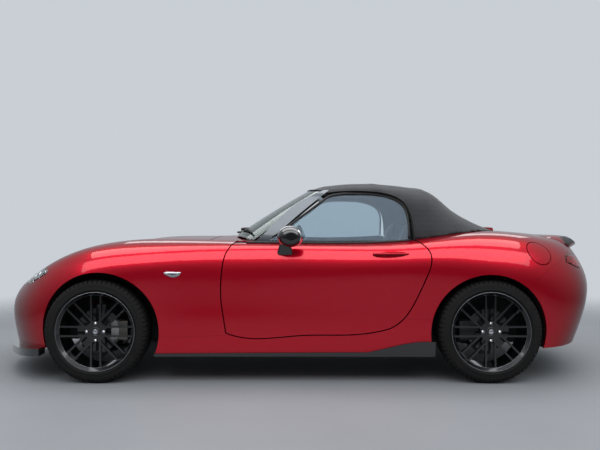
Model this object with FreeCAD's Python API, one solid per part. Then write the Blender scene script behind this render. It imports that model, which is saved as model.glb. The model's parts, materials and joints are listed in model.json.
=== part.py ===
import FreeCAD, Part
import math
import os

# Two-seat convertible car: body panels, cabin, running gear and folding-roof hood, in millimetres.
#
# The car faces -X, its left side is -Y, +Z is up. The origin lies on the ground at mid length and width.
# Shares are fractions of half_length, half_width and deck_height unless a comment says otherwise.

V = FreeCAD.Vector

# Overall sizes
body_length = 3915
body_width = 1735
deck_height = 900
hem_height = 153
wheelbase = 2310
front_overhang = 755
track_front = 1495
track_rear = 1505
overrun = 400

# Walls, gaps and seats
skin_wall = 24
door_wall = 28
panel_gap = 7
seam_gap = 0.6
seat_gap = 0.3
plate_wall = 10
glass_wall = 5
sheet_rows = 4

half_length = body_length / 2
half_width = body_width / 2
front_axle_x = front_overhang - half_length
rear_axle_x = front_axle_x + wheelbase

# Body skin: rows of control points from the centre line down to the hem, nose to tail
centre_profile_shares = [
    (-1.000, 0.478), (-0.998, 0.522), (-0.991, 0.561), (-0.978, 0.600), (-0.955, 0.644),
    (-0.925, 0.687), (-0.880, 0.738), (-0.821, 0.789), (-0.763, 0.827), (-0.704, 0.853),
    (-0.637, 0.876), (-0.514, 0.909), (-0.419, 0.929), (-0.323, 0.942), (-0.227, 0.951),
    (0.000, 0.944), (0.255, 0.950), (0.409, 0.969), (0.511, 0.983), (0.603, 0.991), (0.690, 0.987),
    (0.771, 0.973), (0.843, 0.958), (0.899, 0.940), (0.925, 0.927), (0.943, 0.894), (0.960, 0.833),
    (0.981, 0.744), (0.994, 0.678), (1.000, 0.600),
]
centre_line_shares = [
    -0.920, -0.874, -0.812, -0.741, -0.664, -0.577, -0.490, -0.398, -0.307, -0.194, -0.031, 0.143,
    0.286, 0.409, 0.511, 0.603, 0.690, 0.766, 0.828, 0.874, 0.909, 0.930,
]
inner_top_shares = [
    (-0.937, 0.000), (-0.934, 0.069), (-0.848, 0.196), (-0.761, 0.231), (-0.669, 0.231),
    (-0.577, 0.231), (-0.490, 0.231), (-0.398, 0.231), (-0.307, 0.231), (-0.194, 0.231),
    (-0.031, 0.231), (0.143, 0.231), (0.286, 0.231), (0.409, 0.231), (0.511, 0.231),
    (0.603, 0.231), (0.690, 0.231), (0.766, 0.225), (0.833, 0.213), (0.884, 0.173), (0.934, 0.081),
    (0.936, 0.000),
]
mid_top_shares = [
    (-0.960, 0.000), (-0.958, 0.098), (-0.889, 0.311), (-0.802, 0.461), (-0.700, 0.507),
    (-0.593, 0.507), (-0.496, 0.507), (-0.404, 0.507), (-0.307, 0.507), (-0.194, 0.507),
    (-0.031, 0.507), (0.143, 0.507), (0.286, 0.507), (0.409, 0.507), (0.511, 0.507),
    (0.603, 0.507), (0.690, 0.501), (0.761, 0.484), (0.822, 0.444), (0.879, 0.346), (0.943, 0.133),
    (0.945, 0.000),
]
outer_top_shares = [
    (-0.975, 0.000), (-0.973, 0.121), (-0.917, 0.369), (-0.843, 0.542), (-0.746, 0.646),
    (-0.628, 0.674), (-0.511, 0.680), (-0.409, 0.680), (-0.312, 0.686), (-0.194, 0.697),
    (-0.031, 0.715), (0.143, 0.738), (0.286, 0.738), (0.409, 0.715), (0.511, 0.697),
    (0.603, 0.680), (0.687, 0.663), (0.756, 0.634), (0.817, 0.582), (0.874, 0.461), (0.949, 0.173),
    (0.952, 0.000),
]
crown_shares = [
    (-0.984, 0.000, 0.561), (-0.982, 0.144, 0.562), (-0.941, 0.380, 0.594), (-0.876, 0.576, 0.672),
    (-0.787, 0.720, 0.794), (-0.679, 0.795, 0.894), (-0.572, 0.809, 0.927), (-0.460, 0.809, 0.931),
    (-0.337, 0.821, 0.929), (-0.194, 0.847, 0.922), (-0.031, 0.870, 0.916), (0.143, 0.876, 0.911),
    (0.286, 0.867, 0.922), (0.409, 0.847, 0.956), (0.511, 0.821, 0.984), (0.603, 0.795, 0.989),
    (0.685, 0.767, 0.973), (0.751, 0.720, 0.951), (0.812, 0.646, 0.929), (0.868, 0.519, 0.907),
    (0.937, 0.207, 0.886), (0.940, 0.000, 0.884),
]
shoulder_shares = [
    (-0.994, 0.000, 0.520), (-0.993, 0.161, 0.520), (-0.955, 0.403, 0.542), (-0.890, 0.617, 0.600),
    (-0.810, 0.795, 0.711), (-0.710, 0.916, 0.802), (-0.608, 0.966, 0.836), (-0.490, 0.952, 0.853),
    (-0.358, 0.936, 0.867), (-0.204, 0.931, 0.873), (-0.031, 0.936, 0.871), (0.143, 0.945, 0.867),
    (0.286, 0.959, 0.873), (0.409, 0.971, 0.889), (0.511, 0.959, 0.902), (0.603, 0.950, 0.896),
    (0.685, 0.936, 0.876), (0.754, 0.882, 0.853), (0.817, 0.790, 0.836), (0.879, 0.634, 0.824),
    (0.956, 0.248, 0.814), (0.959, 0.000, 0.813),
]
waist_shares = [
    (-1.000, 0.000, 0.472), (-1.000, 0.173, 0.472), (-0.967, 0.427, 0.478), (-0.903, 0.657, 0.506),
    (-0.823, 0.847, 0.572), (-0.725, 0.963, 0.656), (-0.613, 1.010, 0.728), (-0.490, 0.994, 0.751),
    (-0.358, 0.971, 0.760), (-0.204, 0.966, 0.764), (-0.031, 0.973, 0.764), (0.143, 0.984, 0.764),
    (0.286, 1.001, 0.767), (0.419, 1.005, 0.771), (0.542, 1.014, 0.769), (0.654, 0.998, 0.747),
    (0.741, 0.954, 0.722), (0.817, 0.859, 0.707), (0.884, 0.720, 0.696), (0.943, 0.496, 0.687),
    (0.996, 0.196, 0.679), (0.998, 0.000, 0.678),
]
flank_shares = [
    (-1.000, 0.000, 0.400), (-1.000, 0.173, 0.400), (-0.969, 0.427, 0.402), (-0.905, 0.663, 0.413),
    (-0.829, 0.859, 0.444), (-0.731, 0.966, 0.522), (-0.613, 1.001, 0.606), (-0.485, 0.980, 0.618),
    (-0.358, 0.959, 0.622), (-0.204, 0.957, 0.624), (-0.031, 0.961, 0.624), (0.143, 0.968, 0.624),
    (0.286, 0.980, 0.622), (0.419, 0.987, 0.622), (0.542, 1.001, 0.620), (0.656, 0.991, 0.600),
    (0.747, 0.957, 0.583), (0.828, 0.874, 0.572), (0.895, 0.732, 0.567), (0.951, 0.501, 0.561),
    (1.002, 0.207, 0.556), (1.002, 0.000, 0.556),
]
lower_flank_shares = [
    (-0.996, 0.000, 0.322), (-0.996, 0.173, 0.322), (-0.966, 0.424, 0.322), (-0.903, 0.657, 0.326),
    (-0.829, 0.851, 0.333), (-0.736, 0.954, 0.372), (-0.613, 0.978, 0.467), (-0.480, 0.968, 0.478),
    (-0.358, 0.954, 0.480), (-0.204, 0.950, 0.480), (-0.031, 0.952, 0.480), (0.143, 0.957, 0.480),
    (0.286, 0.964, 0.478), (0.419, 0.982, 0.478), (0.542, 0.978, 0.467), (0.659, 0.971, 0.444),
    (0.751, 0.943, 0.433), (0.829, 0.859, 0.422), (0.888, 0.715, 0.417), (0.938, 0.490, 0.411),
    (0.985, 0.205, 0.411), (0.986, 0.000, 0.411),
]
sill_shares = [
    (-0.990, 0.000, 0.256), (-0.990, 0.173, 0.256), (-0.959, 0.421, 0.253), (-0.898, 0.648, 0.250),
    (-0.825, 0.836, 0.250), (-0.738, 0.945, 0.267), (-0.613, 0.966, 0.333), (-0.475, 0.966, 0.333),
    (-0.358, 0.961, 0.333), (-0.204, 0.957, 0.333), (-0.031, 0.957, 0.333), (0.143, 0.959, 0.333),
    (0.286, 0.966, 0.333), (0.419, 0.978, 0.331), (0.542, 0.968, 0.322), (0.659, 0.959, 0.306),
    (0.751, 0.931, 0.294), (0.817, 0.841, 0.291), (0.873, 0.703, 0.291), (0.917, 0.484, 0.291),
    (0.963, 0.205, 0.291), (0.964, 0.000, 0.291),
]
hem_shares = [
    (-0.982, 0.000, 0.189), (-0.982, 0.173, 0.189), (-0.951, 0.415, 0.189), (-0.891, 0.640, 0.189),
    (-0.820, 0.821, 0.189), (-0.738, 0.928, 0.189), (-0.613, 0.943, 0.189), (-0.475, 0.948, 0.189),
    (-0.358, 0.945, 0.189), (-0.204, 0.941, 0.189), (-0.031, 0.941, 0.189), (0.143, 0.943, 0.189),
    (0.286, 0.948, 0.189), (0.419, 0.957, 0.189), (0.542, 0.945, 0.189), (0.659, 0.936, 0.189),
    (0.748, 0.906, 0.189), (0.805, 0.813, 0.189), (0.854, 0.680, 0.189), (0.895, 0.473, 0.189),
    (0.931, 0.198, 0.189), (0.932, 0.000, 0.189),
]
crown_blend_shares = [0.22, 0.68]
nose_hem_z = 153
nose_hem_rear_z = 232
tail_hem_z = 200
bonnet_floor = 560
ledge_wall = 6
ledge_reach = 40

# Wheel arches
front_arch_x = -1182
front_arch_z = 300
front_arch_radius = 350
arch_inner_y = 480
rear_arch_x = 1100
rear_arch_z = 295
rear_arch_radius = 343
rear_arch_inner_y = 600
liner_wall = 4
liner_gap = 1
liner_foot = 200
liner_slack = 20

# Shut lines seen from the side, as (x share of half_length, z share of deck_height)
door_front_shares = [(-0.192, 0.928), (-0.228, 0.822), (-0.236, 0.718), (-0.239, 0.569),
                     (-0.233, 0.456), (-0.224, 0.330)]
door_sill_shares = [(-0.224, 0.330), (-0.200, 0.312), (0.000, 0.314), (0.180, 0.324),
                    (0.256, 0.354)]
door_rear_shares = [(0.256, 0.354), (0.307, 0.430), (0.344, 0.562), (0.371, 0.695), (0.385, 0.790),
                    (0.383, 0.845), (0.366, 0.896), (0.339, 0.932)]
nose_seam_shares = [(-0.700, 0.222), (-0.760, 0.530), (-0.795, 0.640), (-0.830, 0.700),
                    (-0.870, 0.760)]
tail_seam_shares = [(0.670, 0.330), (0.676, 0.610), (0.704, 0.679), (0.790, 0.785), (0.880, 0.890),
                    (0.920, 0.910)]
sill_seam_shares = [(-0.660, 0.284), (-0.224, 0.311), (0.290, 0.420), (0.440, 0.420)]
skirt_shares = [(-0.440, 0.194), (0.198, 0.202), (0.264, 0.235), (0.320, 0.262), (0.400, 0.271)]
skirt_reach = 9
skirt_depth = 40
skirt_floor = 156

# Lid outlines seen from above, as (x share of half_length, y share of half_width)
bonnet_edge_shares = [(-0.918, 0), (-0.913, 0.150), (-0.892, 0.330), (-0.850, 0.495),
                      (-0.800, 0.570), (-0.740, 0.618), (-0.640, 0.668), (-0.500, 0.705),
                      (-0.380, 0.722), (-0.286, 0.728)]
bonnet_rear_x = bonnet_edge_shares[-1][0] * half_length
boot_edge_shares = [(0.698, 0), (0.698, 0.480), (0.710, 0.520), (0.740, 0.548), (0.820, 0.572),
                    (0.920, 0.572)]
boot_face_shares = [(0.400, 0.682), (0.450, 0.684), (0.484, 0.694), (0.500, 0.722), (0.507, 0.766),
                    (0.513, 0.812), (0.530, 0.850), (0.562, 0.878), (0.600, 0.892)]
# The raised tail on the boot lid: its rear edge, and steps forward and up from it over and under the lip
tail_edge_shares = [(0.986, 0, 0.889), (0.984, 0.090, 0.890), (0.956, 0.231, 0.892), (0.926, 0.346, 0.893),
                    (0.895, 0.455, 0.880), (0.868, 0.525, 0.850)]
tail_top_steps = [(-250, 50), (-170, 57), (-110, 54), (-60, 43), (-22, 22), (0, 0)]
tail_under_steps = [(-250, -60), (-200, -75), (-150, -85), (-100, -70), (-50, -38), (-4, -9)]
cabin_edge_shares = [(-0.222, 0), (-0.216, 0.300), (-0.196, 0.550), (-0.150, 0.700),
                     (-0.102, 0.770)]
cabin_tail_x = 905
cabin_tail_y = 560
cabin_corner = 120
cabin_side_y = 700
cowl_side_y = 660
sill_top = 250
jack_pad_places = [-480, 380]
jack_pad_y = 725
jack_pad_half = 28
jack_pad_z = 158
jack_pad_height = 72

# Doors
door_inner_y = 702
door_inset = 24
door_hinge_x = -357
door_hinge_y = 812
hinge_heights = [352, 642]
hinge_height = 34
hinge_slack = 8
hinge_pin = 5
hinge_eye = 11
hinge_pocket_front = 130
hinge_pocket_rear = 32
post_front_x = -620
post_rear_x = -338
post_outer_y = 692
post_step_x = -445
post_top = 780
jamb_gap = 20
handle_x = 522
handle_z = 752
handle_length = 210
handle_height = 24
handle_depth = 13
handle_skin_y = 838
handle_reach = 12
door_shoulder_y = 800

# Lamps and intake seen from the front, as (y share of half_width, z share of deck_height)
headlamp_shares = [(0.520, 0.628), (0.640, 0.618), (0.760, 0.652), (0.830, 0.706), (0.790, 0.732),
                   (0.680, 0.716), (0.560, 0.672)]
tail_lamp_shares = [(0.535, 0.745), (0.600, 0.728), (0.720, 0.742), (0.800, 0.778), (0.770, 0.812),
                    (0.640, 0.822), (0.550, 0.800)]
grille_shares = [(0, 0.250), (0.140, 0.251), (0.280, 0.254), (0.400, 0.264), (0.478, 0.286),
                 (0.500, 0.322), (0.476, 0.366), (0.420, 0.404), (0.330, 0.434), (0.220, 0.452),
                 (0.110, 0.460), (0, 0.462)]
lamp_depth = 60
grille_depth = 20
grille_set_back = 50
slat_wall = 5
slat_pitch = 27
lip_outer_shares = [(-0.998, 0), (-0.995, 0.180), (-0.966, 0.430), (-0.905, 0.680),
                    (-0.838, 0.855), (-0.792, 0.915)]
lip_inner_shares = [(-0.792, 0.800), (-0.850, 0.730), (-0.900, 0.560), (-0.945, 0.360),
                    (-0.960, 0)]
lip_height = 44
diffuser_outer_shares = [(0.943, 0), (0.935, 0.200), (0.895, 0.460), (0.830, 0.680)]
diffuser_inner_shares = [(0.800, 0.640), (0.860, 0.420), (0.895, 0.180), (0.900, 0)]
diffuser_height = 26

# Fuel flap, on the left rear wing
flap_x = 1416
flap_y = 790
flap_z = 775
flap_radius = 78
flap_wall = 9
flap_recess = 18
flap_gap = 5.4
flap_lean_x = 0.22
flap_lean_y = 0.82
flap_lean_z = 0.53

# Windscreen, pillars and hood: x shares of half_length, y shares of half_width, z shares of roof_height
roof_height = 1214
screen_row_shares = [
    [(-0.227, 0, 0.708), (-0.225, 0.260, 0.707), (-0.202, 0.540, 0.700), (-0.146, 0.764, 0.687)],
    [(0.024, 0, 0.958), (0.026, 0.230, 0.957), (0.043, 0.460, 0.949), (0.066, 0.626, 0.934)],
]
screen_bulge = 8
screen_slope = 32
pillar_shares = [(-0.104, 0.797, 0.672), (-0.026, 0.752, 0.791), (0.032, 0.703, 0.870),
                 (0.072, 0.663, 0.921), (0.090, 0.636, 0.944)]
pillar_size_shares = [(0.046, 0.053), (0.047, 0.051), (0.047, 0.048), (0.031, 0.044),
                      (0.017, 0.039)]
header_back = 14
header_width = 66
header_depth = 18
hood_row_shares = [
    [(0.025, 0.000, 0.961), (0.084, 0.000, 0.988), (0.148, 0.000, 0.998), (0.220, 0.000, 1.001),
     (0.301, 0.000, 0.994), (0.388, 0.000, 0.978), (0.460, 0.000, 0.960), (0.522, 0.000, 0.848),
     (0.614, 0.000, 0.767), (0.687, 0.000, 0.728)],
    [(0.027, 0.150, 0.960), (0.085, 0.161, 0.986), (0.148, 0.173, 0.996), (0.220, 0.184, 0.998),
     (0.301, 0.190, 0.991), (0.386, 0.196, 0.975), (0.457, 0.196, 0.956), (0.518, 0.207, 0.844),
     (0.609, 0.219, 0.763), (0.679, 0.219, 0.728)],
    [(0.038, 0.380, 0.954), (0.089, 0.398, 0.977), (0.151, 0.415, 0.986), (0.220, 0.427, 0.987),
     (0.296, 0.436, 0.980), (0.375, 0.444, 0.962), (0.442, 0.450, 0.941), (0.494, 0.467, 0.836),
     (0.578, 0.484, 0.763), (0.645, 0.490, 0.726)],
    [(0.059, 0.553, 0.946), (0.102, 0.571, 0.964), (0.156, 0.590, 0.972), (0.220, 0.602, 0.972),
     (0.289, 0.611, 0.963), (0.358, 0.622, 0.942), (0.414, 0.640, 0.914), (0.459, 0.663, 0.824),
     (0.520, 0.680, 0.758), (0.577, 0.692, 0.715)],
    [(0.074, 0.632, 0.941), (0.110, 0.663, 0.951), (0.159, 0.682, 0.956), (0.220, 0.692, 0.954),
     (0.284, 0.701, 0.943), (0.340, 0.717, 0.914), (0.379, 0.744, 0.867), (0.406, 0.770, 0.785),
     (0.441, 0.786, 0.733), (0.485, 0.795, 0.697)],
    [(0.084, 0.652, 0.929), (0.115, 0.676, 0.936), (0.161, 0.693, 0.939), (0.220, 0.703, 0.936),
     (0.276, 0.715, 0.924), (0.319, 0.738, 0.893), (0.341, 0.770, 0.836), (0.349, 0.800, 0.766),
     (0.351, 0.818, 0.717), (0.352, 0.825, 0.675)],
]
hood_wall = 14
hood_core_x = 380
hood_core_z = 760
hood_reach_x = 900
hood_reach_y = 640
hood_reach_z = 440
rear_pane_shares = [(0, 0.790), (0.120, 0.790), (0.240, 0.791), (0.350, 0.796), (0.424, 0.812),
                    (0.450, 0.842), (0.436, 0.876), (0.380, 0.898), (0.270, 0.910), (0.140, 0.915),
                    (0, 0.916)]

# Door glass, seen from the side
glass_outline_shares = [
    [(-0.105, 0.680), (-0.010, 0.789), (0.086, 0.904)],
    [(0.086, 0.904), (0.120, 0.916), (0.159, 0.919), (0.236, 0.914), (0.286, 0.895), (0.316, 0.862),
     (0.327, 0.824), (0.330, 0.766), (0.330, 0.692)],
]
glass_belt_z = 822
glass_top_z = 1118
glass_foot_y = 722
glass_mid_y = 670
glass_top_y = 596
glass_slot = 22
glass_slack = 1

# Mirrors: (reach, size, lean) shares of the head's half reach, its size and its length
mirror_x = -62
mirror_y = 878
mirror_z = 860
mirror_length = 150
mirror_reach = 160
mirror_height = 124
mirror_shares = [(-0.92, 0.50, 0.10), (-0.55, 0.86, 0.04), (0, 1.00, 0), (0.55, 0.90, 0),
                 (0.86, 0.66, 0.02), (0.99, 0.34, 0.04)]
mirror_foot_x = -95
mirror_foot_z = 752
mirror_foot_radius = 27
mirror_foot_spread = 51
mirror_foot_share = 0.6

# Wheels and tyres
tyre_radius = 303
tyre_width = 206
rim_radius = 218
rim_width = 196
rim_wall = 6
rim_lip = 15
rim_shoulder = 16
rim_flare = 18
wheel_inset = 45
hub_radius = 60
hub_depth = 34
hub_reach = 52
hub_overlap = 12
spoke_pairs = 8
spoke_width = 11
spoke_depth = 22
spoke_spread = 56
spoke_root_spread = 52
spoke_lift = 12
disc_radius_front = 129
disc_radius_rear = 126
disc_wall = 20
disc_offset = 42
disc_clearance = 5
stud_circle = 100
stud_count = 4
stud_bore = 22
stud_sink = 14
shaft_radius = 14
shaft_length = 118
shaft_clearance = 0.08
tyre_profile_shares = [(0.79, 0), (0.88, 0.19), (1.0, 0.45), (0.95, 0.85), (0.70, 1)]

# Steering and front axle
steer_axis_y = 702
knuckle_wall = 26
knuckle_radius = 45
joint_reach = 152
joint_pin_radius = 9
arm_eye_radius = 20
arm_wall = 16
arm_neck = 60
arm_spread = 120
rack_offset = 100
rack_z = 205
rack_radius = 11
rod_end_half = 13
rack_tube_half = 380
rack_tube_radius = 22
rod_gap = 1
caliper_reach = 46
caliper_wall = 18
caliper_height = 110
caliper_root_share = 0.62
wheel_column_y = 372
wheel_column_x = 60
wheel_column_z = 745
steering_ring_radius = 182
steering_ring_section = 15
steering_tilt = 24
column_length = 330
hub_boss_radius = 62
hub_boss_depth = 44

# Structure
floor_height = 150
floor_wall = 20
footwell_x = -640
bulkhead_top = 770
tunnel_half_width = 125
tunnel_height = 250
rear_bulkhead_x = 735
shelf_z = 640
shelf_tail_x = 930
boot_floor_z = 330
boot_tail_x = 1830
sill_inner_y = 655
rail_front_x = -1700
rail_y = 395
rail_width = 55
rail_z = 330
rail_height = 80

# Seats and dashboard
seat_x = -20
seat_y = 372
seat_width = 490
seat_round = 45
cushion_length = 520
cushion_height = 165
cushion_z = 185
back_height = 640
back_wall = 130
back_tilt = 20
back_overlap = 70
head_height = 150
head_wall = 91
dash_front_x = -420
dash_rear_x = -120
dash_top = 800
dash_bottom = 580
dash_round = 60
console_half_width = 95
console_length = 560
console_rise = 70

# Engine, exhaust and suspension
engine_length = 560
engine_width = 420
engine_height = 430
engine_x = -936
engine_z = 215
exhaust_radius = 28
exhaust_z = 226
exhaust_clearance = 6
pipe_bend_x = 860
pipe_axle_x = 980
pipe_axle_y = -168
pipe_axle_z = 250
muffler_length = 700
muffler_width = 190
muffler_x = 1640
muffler_z = 268
muffler_height = 130
muffler_round = 50
tip_radius = 38
tip_pitch = 95
tip_y = 480
tip_z = 241
tip_set_back = 75
subframe_section = 60
tower_rise = 40
rear_frame_y = 380
drive_length = 260
drive_half_width = 110

wheel_y_front = track_front / 2


def clamped(count):
    """Knots and multiplicities of a clamped cubic with this many control points."""
    spans = count - 3
    knots = [span / spans for span in range(spans + 1)]
    counts = [4] + [1] * (spans - 1) + [4]
    return knots, counts


def cubic_surface(rows):
    surface = Part.BSplineSurface()
    row_knots, row_counts = clamped(len(rows))
    column_knots, column_counts = clamped(len(rows[0]))
    surface.buildFromPolesMultsKnots(rows, row_counts, column_counts, row_knots, column_knots,
                                     False, False, 3, 3)
    return surface


def cubic_curve(points):
    curve = Part.BSplineCurve()
    knots, counts = clamped(len(points))
    curve.buildFromPolesMultsKnots(points, counts, knots, False, 3)
    return curve


def solid_of(faces):
    shell = Part.Shell(faces)
    shell.sewShape()
    solid = Part.Solid(shell)
    if solid.Volume < 0:
        solid.reverse()
    return solid


def box(x_from, x_to, y_from, y_to, z_from, z_to):
    return Part.makeBox(x_to - x_from, y_to - y_from, z_to - z_from, V(x_from, y_from, z_from))


def rod(start, end, radius):
    axis = end - start
    return Part.makeCylinder(radius, axis.Length, start, axis)


def cross_rod(x, z, radius, y_from, y_to):
    return rod(V(x, y_from, z), V(x, y_to, z), radius)


def grown(strokes, grow):
    """Move an outline's points outwards, each along the bisector of the runs beside it."""
    spots = [(stroke_index, index) for stroke_index, stroke in enumerate(strokes)
             for index in range(len(stroke))]
    places = [strokes[stroke_index][index] for stroke_index, index in spots]
    area = sum(here[0] * there[1] - there[0] * here[1]
               for here, there in zip(places, places[1:] + places[:1]))
    turn = 1 if area > 0 else -1
    moved = [list(stroke) for stroke in strokes]
    for (stroke_index, index), here in zip(spots, places):
        before = neighbour(places, here, -1)
        after = neighbour(places, here, 1)
        first = normal_of(before, here, turn)
        second = normal_of(here, after, turn)
        scale = grow / (1 + first[0] * second[0] + first[1] * second[1])
        moved[stroke_index][index] = (here[0] + scale * (first[0] + second[0]),
                                      here[1] + scale * (first[1] + second[1]))
    return moved


def neighbour(places, here, step):
    """The nearest different point before or after this one along the outline."""
    count = len(places)
    index = places.index(here)
    if step > 0:
        while places[index % count] == here:
            index += 1
        return places[index % count]
    index -= 1
    while places[index % count] == here:
        index -= 1
    return places[index % count]


def normal_of(start, end, turn):
    run_x = end[0] - start[0]
    run_y = end[1] - start[1]
    length = math.hypot(run_x, run_y)
    return (turn * run_y / length, -turn * run_x / length)


def outline_face(strokes):
    """Close strokes, each a straight line or a smooth curve through its points, into a plane face."""
    edges = []
    for stroke in strokes:
        if len(stroke) == 2:
            edges.append(Part.makeLine(stroke[0], stroke[1]))
        else:
            curve = Part.BSplineCurve()
            curve.interpolate(stroke)
            edges.append(curve.toShape())
    for index, stroke in enumerate(strokes):
        following = strokes[(index + 1) % len(strokes)][0]
        if stroke[-1].distanceToPoint(following) > seat_gap / 10:
            edges.append(Part.makeLine(stroke[-1], following))
    return Part.Face(Part.Wire(Part.__sortEdges__(edges)))


def side_prism(strokes, y_from, y_to, grow=0):
    """Extrude an outline seen from the side; its points are (x, z)."""
    lifted = [[V(x, y_from, z) for x, z in stroke] for stroke in grown(strokes, grow)]
    return outline_face(lifted).extrude(V(0, y_to - y_from, 0))


def plan_prism(strokes, z_from, z_to, grow=0):
    """Extrude an outline seen from above; its points are (x, y)."""
    lifted = [[V(x, y, z_from) for x, y in stroke] for stroke in grown(strokes, grow)]
    return outline_face(lifted).extrude(V(0, 0, z_to - z_from))


def front_prism(strokes, x_from, x_to, grow=0):
    """Extrude an outline seen from the front; its points are (y, z)."""
    lifted = [[V(x_from, y, z) for y, z in stroke] for stroke in grown(strokes, grow)]
    return outline_face(lifted).extrude(V(x_to - x_from, 0, 0))


def past_centre(points):
    """Close an outline seen from the front well past the centre plane, so that halves join there."""
    low, high = (-overrun, points[0][1]), (-overrun, points[-1][1])
    return [[low, points[0]], points, [points[-1], high], [high, low]]


def side_points(shares):
    return [(x * half_length, z * deck_height) for x, z in shares]


def plan_points(shares):
    return [(x * half_length, y * half_width) for x, y in shares]


def front_points(shares, height=deck_height):
    return [(y * half_width, z * height) for y, z in shares]


def other_side(shape):
    return shape.mirror(V(0, 0, 0), V(0, 1, 0))


def pair(shape):
    """A piece on the right side and its mirror image on the left."""
    return Part.makeCompound([shape, other_side(shape)])


def whole(shape):
    """A half that ends on the centre plane, joined to its mirror image."""
    return shape.fuse(other_side(shape)).removeSplitter()


def fused(shapes):
    return shapes[0].fuse(shapes[1:]).removeSplitter()


def cubic_ring(x, y, z, reach_x, reach_z):
    """An ellipse facing across the car."""
    ellipse = Part.Ellipse(V(0, 0, 0), max(reach_x, reach_z), min(reach_x, reach_z))
    edge = ellipse.toShape()
    if reach_z > reach_x:
        edge.rotate(V(0, 0, 0), V(0, 0, 1), 90)
    edge.rotate(V(0, 0, 0), V(1, 0, 0), 90)
    edge.translate(V(x, y, z))
    return Part.Wire([edge])


# Body skin

def profile_height(x):
    """Height of the centre line at a place along the car."""
    points = side_points(centre_profile_shares)
    for (x_from, z_from), (x_to, z_to) in zip(points, points[1:]):
        if x <= x_to:
            return z_from + (z_to - z_from) * (x - x_from) / (x_to - x_from)
    return points[-1][1]


def hull_rows():
    crown = [V(x * half_length, y * half_width, z * deck_height) for x, y, z in crown_shares]
    centre = [(share * half_length, 0) for share in centre_line_shares]
    tops = [centre, plan_points(inner_top_shares), plan_points(mid_top_shares), plan_points(outer_top_shares)]
    blends = [0] + crown_blend_shares
    rows = []
    for top, blend in zip(tops, blends):
        rows.append([V(x, y, profile_height(x) + blend * (edge.z - profile_height(edge.x)))
                     for (x, y), edge in zip(top, crown)])
    rows.append(crown)
    for shares in (shoulder_shares, waist_shares, flank_shares, lower_flank_shares, sill_shares):
        rows.append([V(x * half_length, y * half_width, z * deck_height) for x, y, z in shares])
    rows.append([V(x * half_length, y * half_width, hem_height) for x, y, z in hem_shares])
    return rows


def make_hull():
    """The right half of the body's outer form, closed at the centre plane and at the hem."""
    skin = cubic_surface(hull_rows()).toShape()
    centre_edges = [edge for edge in skin.Edges if edge.BoundBox.YMax < seat_gap]
    hem_edge = min(skin.Edges, key=lambda edge: edge.BoundBox.ZMax)
    ends = sorted((vertex.Point for vertex in hem_edge.Vertexes), key=lambda spot: spot.x)
    keel = Part.makeLine(ends[0], ends[1])
    centre_face = Part.Face(Part.Wire(Part.__sortEdges__(centre_edges + [keel])))
    hem_face = Part.Face(Part.Wire(Part.__sortEdges__([hem_edge, keel])))
    return solid_of([skin, centre_face, hem_face])


def hull_grown(growth):
    """The body's form moved outwards by a wall, or inwards where it is below zero."""
    if growth not in grown_hulls:
        matrix = FreeCAD.Matrix()
        matrix.scale(1 + growth / half_length, 1 + growth / half_width, 1 + growth / deck_height)
        grown_hulls[growth] = hull.transformGeometry(matrix)
    return grown_hulls[growth]


def layer(block, outer_depth, inner_depth):
    """The part of a block that lies between two depths below the body's outer form."""
    return block.common(hull_grown(-outer_depth)).cut(hull_grown(-inner_depth))


# Regions that part the panels

roof_top = deck_height + overrun
side_limit = half_width + overrun
nose_limit = -half_length - overrun
tail_limit = half_length + overrun


def door_region(grow=0):
    front = side_points(door_front_shares)
    sill = side_points(door_sill_shares)
    rear = side_points(door_rear_shares)
    top = [(rear[-1][0], roof_top), (front[0][0], roof_top)]
    return side_prism([front, sill, rear, top], 0, side_limit, grow)


def nose_region(grow=0):
    seam = side_points(nose_seam_shares)
    return side_prism([seam, [(seam[-1][0], roof_top), (nose_limit, roof_top)],
                       [(nose_limit, 0), (seam[0][0], 0)]], 0, side_limit, grow)


def tail_region(grow=0):
    seam = side_points(tail_seam_shares)
    return side_prism([seam[:2], seam[1:-1], seam[-2:], [(tail_limit, seam[-1][1]), (tail_limit, 0)],
                       [(tail_limit, 0), (seam[0][0], 0)]], 0, side_limit, grow)


def sill_region(grow=0):
    seam = side_points(sill_seam_shares)
    return side_prism([seam[:2], seam[1:3], seam[2:], [(seam[-1][0], 0), (seam[0][0], 0)]],
                      0, side_limit, grow)


def bonnet_region(grow=0):
    edge = plan_points(bonnet_edge_shares)
    return plan_prism([edge, [edge[-1], (bonnet_rear_x, -overrun)],
                       [(bonnet_rear_x, -overrun), (edge[0][0], -overrun)], [(edge[0][0], -overrun), edge[0]]],
                      bonnet_floor, roof_top, grow)


def boot_region(grow=0):
    """The boot lid: its deck seen from above and its rear face seen from behind."""
    edge = plan_points(boot_edge_shares)
    face = front_points(boot_face_shares)
    deck = plan_prism([[(edge[0][0], -overrun), edge[1]], edge[1:], [edge[-1], (tail_limit, edge[-1][1])],
                       [(tail_limit, edge[-1][1]), (tail_limit, -overrun)],
                       [(tail_limit, -overrun), (edge[0][0], -overrun)]], bonnet_floor, roof_top, grow)
    rear = front_prism([[(-overrun, face[0][1]), face[0]], face, [face[-1], (face[-1][0] + overrun, face[-1][1])],
                        [(face[-1][0] + overrun, face[-1][1]), (face[-1][0] + overrun, roof_top)],
                        [(face[-1][0] + overrun, roof_top), (-overrun, roof_top)],
                        [(-overrun, roof_top), (-overrun, face[0][1])]],
                       edge[0][0] - overrun, tail_limit, grow)
    return deck.common(rear)


def arch_cut(grow=0):
    front = cross_rod(front_arch_x, front_arch_z, front_arch_radius + grow, arch_inner_y, side_limit)
    rear = cross_rod(rear_arch_x, rear_arch_z, rear_arch_radius + grow, rear_arch_inner_y, side_limit)
    return Part.makeCompound([front, rear])


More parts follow.
